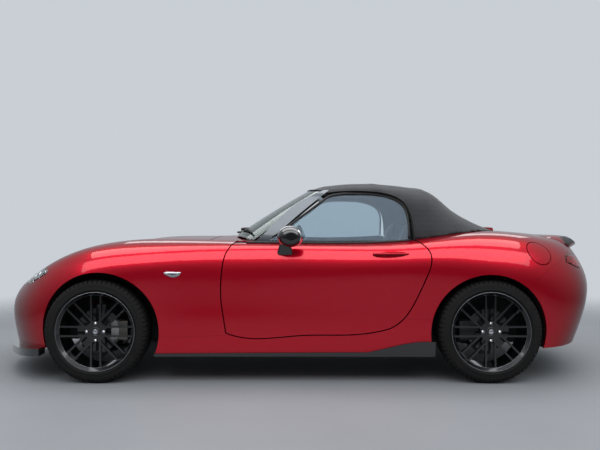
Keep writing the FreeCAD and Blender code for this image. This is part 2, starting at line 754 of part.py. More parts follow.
def liner_space():
    """Room for the wheel housings, inboard of the outer skin."""
    return arch_cut(liner_wall + liner_gap).common(hull_grown(-skin_wall))


def lamp_region(shares, x_from, x_to, grow=0):
    points = front_points(shares)
    return front_prism([points[:4], points[3:] + points[:1]], x_from, x_to, grow)


def nose_hem_region(drop=0):
    """Everything below the bumper's rising lower edge."""
    front_z = nose_hem_z - drop
    rear_z = nose_hem_rear_z - drop
    return side_prism([[(nose_limit, front_z), (-half_length, front_z)],
                       [(-half_length, front_z), (front_arch_x, rear_z)],
                       [(front_arch_x, 0), (nose_limit, 0)]], 0, side_limit)


# Outer panels

def front_bumper():
    lamp = lamp_region(headlamp_shares, nose_limit, front_arch_x, seam_gap / 2)
    opening = front_prism(past_centre(front_points(grille_shares)), nose_limit, front_arch_x)
    half = skin.common(nose_region(-seam_gap / 2))
    for cutter in (bonnet_region(panel_gap), arch_cut(), nose_hem_region(), lamp, opening):
        half = half.cut(cutter)
    return whole(half)


def front_lip():
    outer = plan_points(lip_outer_shares)
    inner = plan_points(lip_inner_shares)
    blade = plan_prism([outer, inner], 0, deck_height)
    half = blade.common(nose_hem_region(seat_gap)).cut(nose_hem_region(lip_height))
    return whole(half)


def grille():
    """The lower intake: a back panel with slats that reach the bumper's opening."""
    opening = front_prism(past_centre(front_points(grille_shares)), nose_limit, front_arch_x, -seat_gap)
    panel = layer(opening, grille_set_back, grille_set_back + grille_depth)
    low = grille_shares[0][1] * deck_height
    count = int((grille_shares[-1][1] * deck_height - low) / slat_pitch)
    bars = [box(nose_limit, front_arch_x, 0, half_width, low + index * slat_pitch,
                low + index * slat_pitch + slat_wall) for index in range(1, count)]
    slats = layer(Part.makeCompound(bars).common(opening), slat_wall, grille_set_back + grille_depth / 2)
    span = box(nose_limit, front_arch_x, 0, half_width, 0, deck_height)
    return whole(fused([panel, slats]).common(span))


def headlamps():
    lamp = lamp_region(headlamp_shares, nose_limit, front_arch_x, -seam_gap / 2)
    body = layer(lamp, 0, lamp_depth)
    return pair(largest(body.cut(bonnet_region(panel_gap)).cut(arch_cut(liner_wall + liner_gap))))


def front_wings():
    half = skin.cut(nose_region(seam_gap / 2)).cut(sill_region(seam_gap / 2))
    rear_x = door_front_shares[0][0] * half_length - panel_gap
    half = half.common(box(nose_limit, rear_x, 0, side_limit, 0, roof_top))
    lamp = lamp_region(headlamp_shares, nose_limit, front_arch_x, seam_gap / 2)
    cowl_edge = box(bonnet_rear_x - seam_gap, 0, 0, bonnet_side_y() + seam_gap, 0, roof_top)
    for cutter in (door_region(panel_gap), bonnet_region(panel_gap), arch_cut(), lamp, cowl_edge):
        half = half.cut(cutter)
    return pair(largest(half))


def largest(shape):
    return max(shape.Solids, key=lambda solid: solid.Volume)


def bonnet_side_y():
    return bonnet_edge_shares[-1][1] * half_width + panel_gap


def bonnet():
    return whole(skin.common(bonnet_region()))


def cabin_region():
    edge = plan_points(cabin_edge_shares)
    return plan_prism([edge, [(edge[-1][0], cabin_side_y), (cabin_tail_x - cabin_corner, cabin_side_y)],
                       [(cabin_tail_x - cabin_corner, cabin_side_y), (cabin_tail_x, cabin_tail_y)],
                       [(cabin_tail_x, 0), (edge[0][0], 0)]], sill_top, roof_top)


def cowl():
    """The panel below the windscreen, with a ledge that the bonnet's rear edge rests on."""
    front_x = bonnet_rear_x + panel_gap
    door_x = door_front_shares[0][0] * half_length - panel_gap + seam_gap
    field = fused([box(front_x, 0, 0, bonnet_side_y(), bonnet_floor, roof_top),
                   box(door_x, 0, 0, cowl_side_y, bonnet_floor, roof_top)])
    half = skin.common(field).cut(cabin_region())
    under = skin_wall + seat_gap
    web = layer(box(front_x, front_x + ledge_wall, 0, bonnet_side_y() - panel_gap, bonnet_floor, roof_top),
                skin_wall / 2, under + ledge_wall)
    ledge = layer(box(bonnet_rear_x - ledge_reach, front_x + ledge_wall, 0, bonnet_side_y() - panel_gap,
                      bonnet_floor, roof_top), under, under + ledge_wall)
    return whole(fused([half, web, ledge]))


def sills():
    """Sill sections under the doors, each with the post that carries the door's hinges."""
    low = hull.common(sill_region(-seam_gap / 2)).common(box(nose_limit, tail_limit, sill_inner_y, side_limit,
                                                              0, roof_top))
    low = low.cut(door_region(panel_gap)).cut(arch_cut()).cut(skirt_region())
    low = largest(low.cut(liner_space()))
    post = fused([box(post_front_x, post_step_x, sill_inner_y, post_outer_y, hem_height, post_top),
                  box(post_step_x, post_rear_x, sill_inner_y, sill_inner_y + plate_wall, hem_height, post_top)])
    post = post.cut(arch_cut(liner_wall + liner_gap))
    sill = fused([low, post])
    for height in hinge_heights:
        arm = box(door_hinge_x - hinge_eye, door_hinge_x + hinge_eye, sill_inner_y + plate_wall / 2,
                  door_hinge_y, height, height + hinge_height)
        eye = rod(V(door_hinge_x, door_hinge_y, height), V(door_hinge_x, door_hinge_y, height + hinge_height),
                  hinge_eye)
        bore = rod(V(door_hinge_x, door_hinge_y, height - hinge_height),
                   V(door_hinge_x, door_hinge_y, height + 2 * hinge_height), hinge_pin + shaft_clearance)
        sill = fused([sill, arm, eye]).cut(bore)
    pads = [box(x - jack_pad_half, x + jack_pad_half, jack_pad_y - jack_pad_half, jack_pad_y + jack_pad_half,
                jack_pad_z, jack_pad_z + jack_pad_height) for x in jack_pad_places]
    return pair(fused([sill] + pads))


def skirt_region(grow=0):
    points = side_points(skirt_shares)
    return side_prism([points[:2], points[1:], [(points[-1][0], 0), (points[0][0], 0)]], 0, side_limit, grow)


def side_skirts():
    band = skirt_region(-seat_gap / 2).common(box(nose_limit, tail_limit, sill_inner_y, side_limit,
                                                  skirt_floor, roof_top))
    return pair(largest(layer(band, -skirt_reach, skirt_depth).cut(liner_space())))


def door(side):
    """A door with its skin flange, hollow hinge pockets, hinge pins and grip."""
    span = box(nose_limit, tail_limit, door_inner_y, side_limit, 0, roof_top)
    whole_depth = hull.common(span)
    shape = whole_depth.common(door_region())
    shape = shape.cut(door_region(seat_gap).cut(door_region(-door_inset)).common(hull_grown(-door_wall)))
    for height in hinge_heights:
        low = height - hinge_slack
        high = height + hinge_height + hinge_slack
        pocket = box(door_hinge_x - hinge_pocket_front, door_hinge_x + hinge_pocket_rear, door_inner_y - overrun,
                     door_hinge_y + hinge_eye + hinge_slack / 4, low, high)
        pin = rod(V(door_hinge_x, door_hinge_y, low - seat_gap), V(door_hinge_x, door_hinge_y, high + seat_gap),
                  hinge_pin)
        shape = shape.cut(pocket).fuse(pin)
    slot = glass_slab(glass_slack).common(box(nose_limit, tail_limit, 0, side_limit,
                                              glass_belt_z - glass_slot - seat_gap, roof_top))
    slot = slot.common(side_prism(glass_strokes(), 0, side_limit, glass_slack))
    shape = shape.cut(slot)
    cup = Part.makeSphere(1)
    matrix = FreeCAD.Matrix()
    matrix.scale(handle_length / 2, handle_depth, handle_height)
    cup = cup.transformGeometry(matrix)
    cup.translate(V(handle_x, handle_skin_y, handle_z))
    grip = box(handle_x - handle_length / 2, handle_x + handle_length / 2, handle_skin_y - handle_depth,
               handle_skin_y + handle_reach, handle_z, handle_z + handle_height / 2)
    grip = grip.makeFillet(handle_height / 6, grip.Edges)
    shape = fused([shape.cut(cup), grip])
    return shape if side > 0 else other_side(shape)


def glass_slab(slack=0):
    """The curved sheet that the door glass is cut from."""
    outer = [V(0, glass_foot_y + slack, glass_belt_z - glass_slot),
             V(0, glass_mid_y + slack, (glass_belt_z + glass_top_z) / 2),
             V(0, glass_top_y + slack, glass_top_z)]
    inner = [spot - V(0, glass_wall + 2 * slack, 0) for spot in outer]
    sheet = outline_face([outer, [outer[-1], inner[-1]], inner[::-1], [inner[0], outer[0]]])
    sheet = sheet.extrude(V(body_length, 0, 0))
    sheet.translate(V(-half_length, 0, 0))
    return sheet


def glass_strokes():
    front = [(x * half_length, z * roof_height) for x, z in glass_outline_shares[0]]
    rear = [(x * half_length, z * roof_height) for x, z in glass_outline_shares[1]]
    foot_z = glass_belt_z - glass_slot
    return [front, rear, [rear[-1], (rear[-1][0], foot_z)], [(rear[-1][0], foot_z), (front[0][0], foot_z)],
            [(front[0][0], foot_z), front[0]]]


def door_glass(side):
    pane = glass_slab().common(side_prism(glass_strokes(), 0, side_limit))
    return pane if side > 0 else other_side(pane)


def mirror(side):
    rings = [cubic_ring(mirror_x + lean * mirror_length, mirror_y + reach * mirror_reach / 2,
                        mirror_z, mirror_length / 2 * share, mirror_height / 2 * share)
             for reach, share, lean in mirror_shares]
    head = Part.makeLoft(rings, True, False)
    foot = Part.makeLoft([cubic_foot(mirror_foot_z, mirror_foot_spread, door_shoulder_y),
                          cubic_foot(mirror_z - mirror_height / 4, mirror_foot_radius, mirror_y - mirror_reach / 4)],
                         True, False)
    shape = fused([head, foot]).cut(hull_grown(seat_gap))
    shape = largest(shape)
    return shape if side > 0 else other_side(shape)


def cubic_foot(z, reach, y):
    edge = Part.Ellipse(V(mirror_foot_x, y, z), reach, reach * mirror_foot_share).toShape()
    return Part.Wire([edge])


def flap_axis():
    """Outward direction of the skin at the fuel flap."""
    return V(flap_lean_x, flap_lean_y, flap_lean_z).normalize()


def flap_plug(radius, from_depth, to_depth):
    centre = V(flap_x, flap_y, flap_z)
    core = rod(centre - flap_axis() * overrun / 4, centre + flap_axis() * overrun / 4, radius)
    return layer(core, from_depth, to_depth)


def fuel_flap():
    return other_side(largest(flap_plug(flap_radius, 0, flap_wall)))


def rear_body():
    """Rear wings and deck in one, with the door jambs and the ledge under the boot lid."""
    half = skin.cut(tail_region(seam_gap / 2)).cut(sill_region(seam_gap / 2)).cut(cabin_region())
    front_x = door_rear_shares[-1][0] * half_length + panel_gap
    half = half.common(box(front_x - overrun, tail_limit, 0, side_limit, 0, roof_top))
    lamp = lamp_region(tail_lamp_shares, 0, tail_limit, seam_gap / 2)
    for cutter in (door_region(panel_gap), boot_region(panel_gap), arch_cut(), lamp):
        half = half.cut(cutter)
    half = largest(half)
    jamb = door_region(jamb_gap + ledge_wall).cut(door_region(jamb_gap))
    jamb = jamb.common(box(door_rear_shares[0][0] * half_length, tail_limit, sill_inner_y, side_limit,
                           sill_seam_shares[-1][1] * deck_height + seam_gap, post_top))
    jamb = largest(jamb.common(hull_grown(-skin_wall / 2)).cut(arch_cut(liner_wall + liner_gap)))
    front_edge = boot_edge_shares[0][0] * half_length
    ledge_y = boot_edge_shares[1][1] * half_width
    under = skin_wall + seat_gap
    web = layer(box(front_edge - panel_gap - ledge_wall, front_edge - panel_gap, 0, ledge_y, bonnet_floor,
                    roof_top), skin_wall / 2, under + ledge_wall)
    ledge = layer(box(front_edge - panel_gap - ledge_wall, front_edge + ledge_reach, 0, ledge_y, bonnet_floor,
                      roof_top), under, under + ledge_wall)
    right = fused([half, jamb, web, ledge])
    recess = other_side(flap_plug(flap_radius + flap_gap, -overrun / 8, flap_recess))
    spot = V(flap_x + flap_radius / 2, flap_y, flap_z)
    stud = rod(spot - flap_axis() * overrun / 4, spot + flap_axis() * overrun / 4, hinge_pin)
    stud = other_side(layer(stud, flap_wall + seat_gap, flap_recess + ledge_wall / 2))
    left = other_side(right).cut(recess).fuse(stud)
    return right.fuse(left).removeSplitter()


def boot_lid():
    return whole(largest(skin.common(boot_region())))


def boot_spoiler():
    """The raised tail: a wedge on the lid whose upper edge reaches past the rear face."""
    edge = [V(x * half_length, y * half_width, z * deck_height) for x, y, z in tail_edge_shares]
    over = [[spot + V(step, 0, rise) for step, rise in tail_top_steps] for spot in edge]
    under = [[spot + V(step, 0, rise) for step, rise in tail_under_steps] for spot in edge]
    return whole(largest(thick_patch(over, under).cut(hull_grown(seat_gap))))


def tail_lamps():
    lamp = lamp_region(tail_lamp_shares, 0, tail_limit, -seam_gap / 2)
    body = layer(lamp, 0, lamp_depth)
    return pair(largest(body.cut(boot_region(panel_gap))))


def rear_bumper():
    lamp = lamp_region(tail_lamp_shares, 0, tail_limit, seam_gap / 2)
    half = skin.common(tail_region(-seam_gap / 2))
    hem = box(0, tail_limit, 0, side_limit, 0, tail_hem_z)
    for cutter in (boot_region(panel_gap), arch_cut(), lamp, hem):
        half = half.cut(cutter)
    shape = whole(largest(half))
    for y in tip_places():
        shape = shape.cut(rod(V(muffler_x, y, tip_z), V(tail_limit, y, tip_z), tip_radius + exhaust_clearance))
    return shape


def diffuser():
    outer = plan_points(diffuser_outer_shares)
    inner = plan_points(diffuser_inner_shares)
    blade = plan_prism([outer, inner], tail_hem_z - diffuser_height, tail_hem_z - seat_gap)
    return whole(blade)


# Glass and hood

def screen_rows(shares):
    return [[V(x * half_length, y * half_width, z * roof_height) for x, y, z in row] for row in shares]


def thick_patch(outer_rows, inner_rows):
    """A sheet between two surfaces that share their knots."""
    faces = [cubic_surface(outer_rows).toShape(), cubic_surface(inner_rows).toShape()]
    outer_columns = list(zip(*outer_rows))
    inner_columns = list(zip(*inner_rows))
    borders = [(outer_rows[0], inner_rows[0]), (outer_rows[-1], inner_rows[-1]),
               (outer_columns[0], inner_columns[0]), (outer_columns[-1], inner_columns[-1])]
    for outer, inner in borders:
        faces.append(Part.makeRuledSurface(cubic_curve(list(outer)).toShape(), cubic_curve(list(inner)).toShape()))
    return solid_of(faces)


def windscreen_sheet(depth, wall):
    foot, head = screen_rows(screen_row_shares)
    rows = []
    for step in range(sheet_rows):
        share = step / (sheet_rows - 1)
        rise = screen_bulge * math.sin(math.pi * share)
        rows.append([low * (1 - share) + high * share + V(-rise, 0, rise) for low, high in zip(foot, head)])
    lean = V(math.sin(math.radians(screen_slope)), 0, -math.cos(math.radians(screen_slope)))
    outer = [[spot + lean * depth for spot in row] for row in rows]
    inner = [[spot + lean * (depth + wall) for spot in row] for row in rows]
    return thick_patch(outer, inner)


def windscreen_frame():
    """Two pillars and the rail across their heads."""
    rings = []
    for (x, y, z), (run, reach) in zip(pillar_shares, pillar_size_shares):
        rear_x = x * half_length
        front_x = rear_x - run * half_length
        outer_y = y * half_width
        inner_y = outer_y - reach * half_width
        height = z * roof_height
        rings.append(Part.makePolygon([V(front_x, inner_y, height), V(rear_x, inner_y, height),
                                       V(rear_x, outer_y, height), V(front_x, outer_y, height),
                                       V(front_x, inner_y, height)]))
    pillar = Part.makeLoft(rings, True, False)
    foot, head = screen_rows(screen_row_shares)
    top = [spot + V(header_back, 0, -header_depth - glass_wall) for spot in head]
    rear = [spot + V(header_width, 0, header_depth / 4) for spot in top]
    outer_rows = rail_rows(top, rear, header_depth)
    inner_rows = rail_rows(top, rear, 0)
    rail = thick_patch(outer_rows, inner_rows)
    return whole(fused([pillar, rail]).cut(hull_grown(seat_gap)))


def rail_rows(front, rear, rise):
    rows = []
    for step in range(sheet_rows):
        share = step / (sheet_rows - 1)
        rows.append([low * (1 - share) + high * share + V(0, 0, rise) for low, high in zip(front, rear)])
    return rows


def windscreen():
    half = windscreen_sheet(0, glass_wall).cut(made["windscreen_frame"])
    half = half.cut(hull_grown(seat_gap))
    return whole(largest(half))


def hood_sheet():
    rows = [[V(x * half_length, y * half_width, z * roof_height) for x, y, z in row] for row in hood_row_shares]
    core = V(hood_core_x, 0, hood_core_z)
    inner = []
    for row in rows:
        inner.append([V(spot.x - hood_wall * (spot.x - core.x) / hood_reach_x,
                        spot.y - hood_wall * spot.y / hood_reach_y,
                        spot.z - hood_wall * (spot.z - core.z) / hood_reach_z) for spot in row])
    return thick_patch(rows, inner)


def pane_region(grow=0):
    points = front_points(rear_pane_shares, roof_height)
    return front_prism(past_centre(points), cabin_tail_x - panel_gap, tail_limit, grow)


def soft_top():
    half = hood_sheet().cut(hull_grown(seat_gap)).cut(pane_region())
    half = half.cut(made["windscreen_frame"]).cut(made["windscreen"])
    return whole(largest(half))


def rear_window():
    return whole(largest(hood_sheet().common(pane_region(-seat_gap))))


# Structure, cabin and running gear

def arch_liner(side, centre, radius, inner_y, window):
    """A wheel housing: a curved shell with an inner wall, open where the axle's arms pass."""
    x, z = centre
    axle_x, half_window, window_top = window
    outer = cross_rod(x, z, radius + liner_wall, inner_y - liner_wall, side_limit)
    hollow = cross_rod(x, z, radius, inner_y, side_limit)
    shell = outer.cut(hollow).common(hull_grown(-skin_wall - seat_gap))
    shell = shell.cut(box(axle_x - half_window, axle_x + half_window, inner_y - 2 * liner_wall,
                          inner_y + liner_wall, 0, window_top))
    shell = largest(shell.common(box(nose_limit, tail_limit, 0, side_limit, liner_foot, roof_top)))
    return shell if side > 0 else other_side(shell)


def front_liner(side):
    window = (front_axle_x, arm_spread + liner_slack, tyre_radius + joint_reach + liner_slack)
    return arch_liner(side, (front_arch_x, front_arch_z), front_arch_radius, arch_inner_y, window)


def rear_liner(side):
    window = (rear_axle_x, subframe_section + liner_slack, tyre_radius + joint_reach / 2 + liner_slack)
    return arch_liner(side, (rear_arch_x, rear_arch_z), rear_arch_radius, rear_arch_inner_y, window)


def floor_pan():
    half_span = sill_inner_y - seat_gap
    plate = box(footwell_x, rear_bulkhead_x, -half_span, half_span, floor_height, floor_height + floor_wall)
    top = floor_height + tunnel_height
    outer = box(footwell_x, rear_bulkhead_x, -tunnel_half_width, tunnel_half_width, floor_height, top)
    hollow = box(footwell_x - overrun, rear_bulkhead_x + overrun, -tunnel_half_width + plate_wall,
                 tunnel_half_width - plate_wall, 0, top - plate_wall)
    return fused([plate, outer]).cut(hollow)


def front_bulkhead():
    """The wall ahead of the cabin with the two rails that carry the front suspension."""
    half_span = sill_inner_y - seat_gap
    wall = box(footwell_x - plate_wall, footwell_x - seat_gap, -half_span, half_span, floor_height, bulkhead_top)
    tunnel = box(footwell_x - overrun, footwell_x + overrun, -tunnel_half_width + plate_wall,
                 tunnel_half_width - plate_wall, 0, floor_height + tunnel_height - plate_wall)
    wall = wall.cut(tunnel).cut(pair_cut(arch_cut(liner_wall + liner_gap)))
    rail = box(rail_front_x, footwell_x - plate_wall, rail_y, rail_y + rail_width, rail_z, rail_z + rail_height)
    return fused([wall, rail, other_side(rail)]).cut(pipe_run(exhaust_radius + exhaust_clearance))


def pair_cut(shape):
    return Part.makeCompound([shape, other_side(shape)])


def rear_bulkhead():
    """The wall behind the seats and the shelf below the hood."""
    half_span = sill_inner_y - seat_gap
    wall = box(rear_bulkhead_x + seat_gap, rear_bulkhead_x + plate_wall, -half_span, half_span,
               floor_height, shelf_z)
    shelf = box(rear_bulkhead_x + seat_gap, shelf_tail_x, -half_span, half_span, shelf_z - plate_wall, shelf_z)
    shape = fused([wall, shelf]).cut(pipe_run(exhaust_radius + exhaust_clearance))
    return shape.cut(pair_cut(arch_cut(liner_wall + liner_gap)))


def boot_tub():
    outer = box(shelf_tail_x + seat_gap, boot_tail_x, 0, rear_arch_inner_y - liner_wall - seat_gap,
                boot_floor_z, roof_top)
    hollow = box(shelf_tail_x + plate_wall, boot_tail_x - plate_wall, -overrun,
                 rear_arch_inner_y - liner_wall - plate_wall, boot_floor_z + plate_wall, roof_top)
    half = outer.cut(hollow).common(hull_grown(-skin_wall - ledge_wall - 3 * seat_gap))
    half = half.cut(lamp_region(tail_lamp_shares, 0, tail_limit, seam_gap))
    return whole(largest(half))


def dashboard():
    half_span = sill_inner_y - seat_gap
    beam = box(dash_front_x, dash_rear_x, -half_span, half_span, dash_bottom, dash_top)
    long_edges = [edge for edge in beam.Edges if edge.BoundBox.YLength > half_span
                  and edge.BoundBox.XMax > dash_rear_x - seat_gap]
    beam = beam.makeFillet(dash_round, long_edges)
    console_top = floor_height + tunnel_height
    console = box(dash_rear_x - dash_round, dash_rear_x + console_length, -console_half_width,
                  console_half_width, console_top + seat_gap, console_top + console_rise)
    stack = box(dash_front_x + dash_round, dash_rear_x, -console_half_width, console_half_width,
                console_top + seat_gap, dash_top - dash_round)
    shape = fused([beam, console, stack])
    tip = V(wheel_column_x, wheel_column_y, wheel_column_z)
    bore = rod(tip, tip + column_axis() * (column_length + overrun), shaft_radius + shaft_clearance)
    return shape.cut(bore).cut(made["cowl"])


def column_axis():
    tilt = math.radians(steering_tilt)
    return V(-math.cos(tilt), 0, -math.sin(tilt))


def steering_wheel():
    """The rim, three spokes and hub on the column's shaft."""
    ring = Part.makeTorus(steering_ring_radius, steering_ring_section)
    hub = Part.makeCylinder(hub_boss_radius, hub_boss_depth, V(0, 0, -hub_boss_depth / 2))
    parts = [ring, hub]
    for angle in (0, 90, 180):
        spoke = box(0, steering_ring_radius, -steering_ring_section, steering_ring_section,
                    -steering_ring_section / 2, steering_ring_section / 2)
        spoke.rotate(V(0, 0, 0), V(0, 0, 1), angle - 90)
        parts.append(spoke)
    shaft = Part.makeCylinder(shaft_radius, column_length, V(0, 0, -column_length))
    parts.append(shaft)
    wheel = fused(parts)
    wheel.rotate(V(0, 0, 0), V(0, 1, 0), 90 - steering_tilt)
    wheel.translate(V(wheel_column_x, wheel_column_y, wheel_column_z))
    return wheel


def seat(side):
    """A cushion and a back with its head rest."""
    floor_top = floor_height + floor_wall
    half_seat = seat_width / 2
    base = box(seat_x, seat_x + cushion_length, -half_seat, half_seat, floor_top + seat_gap,
               cushion_z + cushion_height)
    base = base.makeFillet(seat_round, base.Edges)
    back = box(0, back_wall, -half_seat, half_seat, 0, back_height)
    back = back.makeFillet(seat_round, back.Edges)
    head = box(0, head_wall, -half_seat / 2, half_seat / 2, back_height - seat_round,
               back_height + head_height)
    head = head.makeFillet(seat_round / 2, head.Edges)
    back = fused([back, head])
    back.rotate(V(0, 0, 0), V(0, 1, 0), back_tilt)
    back.translate(V(seat_x + cushion_length - back_overlap, 0, cushion_z + seat_round))
    shape = fused([base, back])
    shape.translate(V(0, side * seat_y, 0))
    return shape


def engine():
    return box(engine_x - engine_length / 2, engine_x + engine_length / 2, -engine_width / 2, engine_width / 2,
               engine_z, engine_z + engine_height)


def pipe_run(radius):
    """The exhaust pipe's route: through the tunnel, past the final drive, to the cross box."""
    start = V(engine_x + engine_length / 2 + seat_gap, 0, exhaust_z)
    route = [start, V(pipe_bend_x, 0, exhaust_z), V(pipe_axle_x, pipe_axle_y, pipe_axle_z),
             V(muffler_x, pipe_axle_y, pipe_axle_z)]
    runs = [rod(low, high, radius) for low, high in zip(route, route[1:])]
    elbows = [Part.makeSphere(radius, spot) for spot in route[1:-1]]
    return fused(runs + elbows)


def tip_places():
    middle = tip_y - muffler_length / 4
    return [middle - tip_pitch / 2, middle + tip_pitch / 2]


def exhaust():
    """One pipe, the cross box and its two tips at the right rear."""
    muffler = box(muffler_x - muffler_width / 2, muffler_x + muffler_width / 2, -muffler_length / 2,
                  muffler_length / 2, muffler_z - muffler_height / 2, boot_floor_z - seat_gap)
    muffler = muffler.makeFillet(muffler_round, [edge for edge in muffler.Edges
                                                 if edge.BoundBox.YLength > muffler_length / 2])
    parts = [pipe_run(exhaust_radius), muffler]
    for y in tip_places():
        tip = rod(V(muffler_x, y, tip_z), V(half_length - tip_set_back, y, tip_z), tip_radius)
        bore = rod(V(muffler_x + muffler_width / 2 + tip_radius, y, tip_z), V(half_length, y, tip_z),
                   tip_radius - plate_wall / 4)
        parts.append(tip.cut(bore))
    return fused(parts)


def arm(x, y_root, y_tip, z, spread):
    """A suspension arm, wide at its roots, with the eye of its ball joint."""
    blade = plan_prism([[(x - spread, y_root), (x + spread, y_root)],
                        [(x + arm_eye_radius, y_tip - arm_neck), (x + arm_eye_radius, y_tip)],
                        [(x - arm_eye_radius, y_tip), (x - arm_eye_radius, y_tip - arm_neck)]],
                       z - arm_wall / 2, z + arm_wall / 2)
    eye = rod(V(x, y_tip, z - arm_wall / 2), V(x, y_tip, z + arm_wall / 2), arm_eye_radius)
    return blade.fuse(eye)


def front_suspension():
    """Subframe, towers and arms, with the eyes that the knuckles turn in and the rack's tube."""
    x = front_axle_x
    pin_y = steer_axis_y
    low_z = tyre_radius - joint_reach
    high_z = tyre_radius + joint_reach
    beam = box(x - subframe_section / 2, x + subframe_section / 2, -rail_y, rail_y,
               low_z - arm_wall / 2, engine_z - seat_gap)
    rail_side = rail_y + rail_width + seat_gap
    stand = box(x - subframe_section, x + subframe_section, rail_y - subframe_section, rail_side + plate_wall,
                low_z - arm_wall / 2, rail_z - seat_gap)
    tower = box(x - subframe_section / 2, x + subframe_section / 2, rail_y, rail_side + plate_wall,
                rail_z + rail_height + seat_gap, high_z + tower_rise)
    low_arm = arm(x, rail_y, pin_y, low_z, arm_spread)
    high_arm = arm(x, rail_y + rail_width / 2, pin_y, high_z, arm_spread / 2)
    strap = box(x - subframe_section / 2, x + subframe_section / 2, rail_side, rail_side + plate_wall,
                low_z, high_z + tower_rise)
    pin_bores = [rod(V(x, pin_y, 0), V(x, pin_y, roof_top), joint_pin_radius + shaft_clearance)]
    tube_x = x - rack_offset
    tube = rod(V(tube_x, -rack_tube_half, rack_z), V(tube_x, rack_tube_half, rack_z), rack_tube_radius)
    clamp = box(tube_x, x - subframe_section / 2, rack_tube_half - subframe_section, rack_tube_half,
                low_z, rack_z)
    side_parts = [stand, tower, strap, low_arm, high_arm, clamp]
    right = fused(side_parts).cut(pin_bores[0])
    shape = fused([beam, right, other_side(right), tube])
    bore = rod(V(tube_x, -side_limit, rack_z), V(tube_x, side_limit, rack_z), rack_radius + shaft_clearance)
    return shape.cut(bore)


def steering_rack():
    """The rack bar with a rod end below each knuckle's steering arm."""
    tube_x = front_axle_x - rack_offset
    bar = rod(V(tube_x, -steer_axis_y, rack_z), V(tube_x, steer_axis_y, rack_z), rack_radius)
    ends = [rod(V(tube_x, side * steer_axis_y, rack_z - rod_end_half),
                V(tube_x, side * steer_axis_y, rack_z + rod_end_half), arm_eye_radius) for side in (-1, 1)]
    return fused([bar] + ends)


def knuckle(side):
    """A front hub carrier with its joint pins, steering arm and brake caliper."""
    x = front_axle_x
    hub_face = wheel_y_front + wheel_inset - hub_reach - seat_gap
    carrier = cross_rod(x, tyre_radius, knuckle_radius, steer_axis_y - knuckle_wall, hub_face)
    low_z = tyre_radius - joint_reach
    high_z = tyre_radius + joint_reach
    web = box(x - knuckle_wall, x + knuckle_wall, steer_axis_y - knuckle_wall / 2, steer_axis_y + knuckle_wall / 2,
              low_z + arm_wall / 2 + rod_gap, high_z - arm_wall / 2 - rod_gap)
    pin = rod(V(x, steer_axis_y, low_z - arm_wall), V(x, steer_axis_y, high_z + arm_wall), joint_pin_radius)
    arm_z = rack_z + rod_end_half + rod_gap
    lever = box(x - rack_offset, x, steer_axis_y - arm_wall, steer_axis_y + arm_wall / 4, arm_z, arm_z + arm_wall)
    lever_eye = rod(V(x - rack_offset, steer_axis_y, arm_z), V(x - rack_offset, steer_axis_y, arm_z + arm_wall),
                    arm_eye_radius)
    shape = fused([carrier, web, pin, lever, lever_eye])
    shape = fused([shape, caliper(x, wheel_y_front, disc_radius_front, 1, steer_axis_y + knuckle_wall / 2)])
    shape = shape.cut(cross_rod(x, tyre_radius, shaft_radius + shaft_clearance, 0, side_limit))
    return shape if side > 0 else other_side(shape)


def caliper(x, wheel_y, disc_radius, toward, root_y):
    """A brake caliper astride the disc, on the side of the axle that toward points to."""
    disc_y = wheel_y + wheel_inset - disc_offset
    slot = disc_wall / 2 + disc_clearance
    inner_x = disc_radius * caliper_root_share
    outer_x = disc_radius + caliper_reach
    block = box(inner_x, outer_x, root_y, disc_y + slot + caliper_wall, -caliper_height / 2, caliper_height / 2)
    arm_block = box(0, outer_x - caliper_reach, root_y - knuckle_wall / 2, root_y + knuckle_wall / 2,
                    -caliper_height / 4, caliper_height / 4)
    gap = rod(V(0, disc_y - slot, 0), V(0, disc_y + slot, 0), disc_radius + disc_clearance)
    shape = block.cut(gap).fuse(arm_block)
    if toward < 0:
        shape = shape.mirror(V(0, 0, 0), V(1, 0, 0))
    shape.translate(V(x, 0, tyre_radius))
    return shape


def rear_suspension():
    """Rear subframe, hub carriers with calipers, and the final drive with its half shafts."""
    x = rear_axle_x
    y = track_rear / 2
    hub_face = y + wheel_inset - hub_reach - seat_gap
    low_z = tyre_radius - joint_reach
    high_z = tyre_radius + joint_reach / 2
    beam = box(x - subframe_section, x + subframe_section, 0, rear_frame_y, low_z, low_z + subframe_section)
    drive = box(x - drive_length / 2, x + drive_length / 2, 0, drive_half_width, low_z + subframe_section / 2,
                boot_floor_z - seat_gap)
    carrier = cross_rod(x, tyre_radius, knuckle_radius, hub_face - knuckle_wall * 2, hub_face)
    web = box(x - knuckle_wall, x + knuckle_wall, hub_face - knuckle_wall * 2, hub_face - knuckle_wall,
              low_z, high_z)
    low_arm = box(x - subframe_section / 2, x + subframe_section / 2, rear_frame_y - arm_wall,
                  hub_face - knuckle_wall, low_z, low_z + arm_wall)
    stub_end = y + wheel_inset - shaft_length - seat_gap
    shaft = cross_rod(x, tyre_radius, shaft_radius, 0, stub_end)
    shape = fused([beam, drive, carrier, web, low_arm])
    brake = caliper(x, y, disc_radius_rear, -1, hub_face - knuckle_wall)
    shape = fused([shape, brake])
    shape = shape.cut(cross_rod(x, tyre_radius, shaft_radius + shaft_clearance, stub_end, side_limit))
    return whole(fused([shape, shaft]))


def turned(points):
    """Turn an outline of (radius, place along the axle) about the axle."""
    corners = [V(radius, place, 0) for radius, place in points]
    face = Part.Face(Part.makePolygon(corners + [corners[0]]))
    return face.revolve(V(0, 0, 0), V(0, 1, 0), 360)


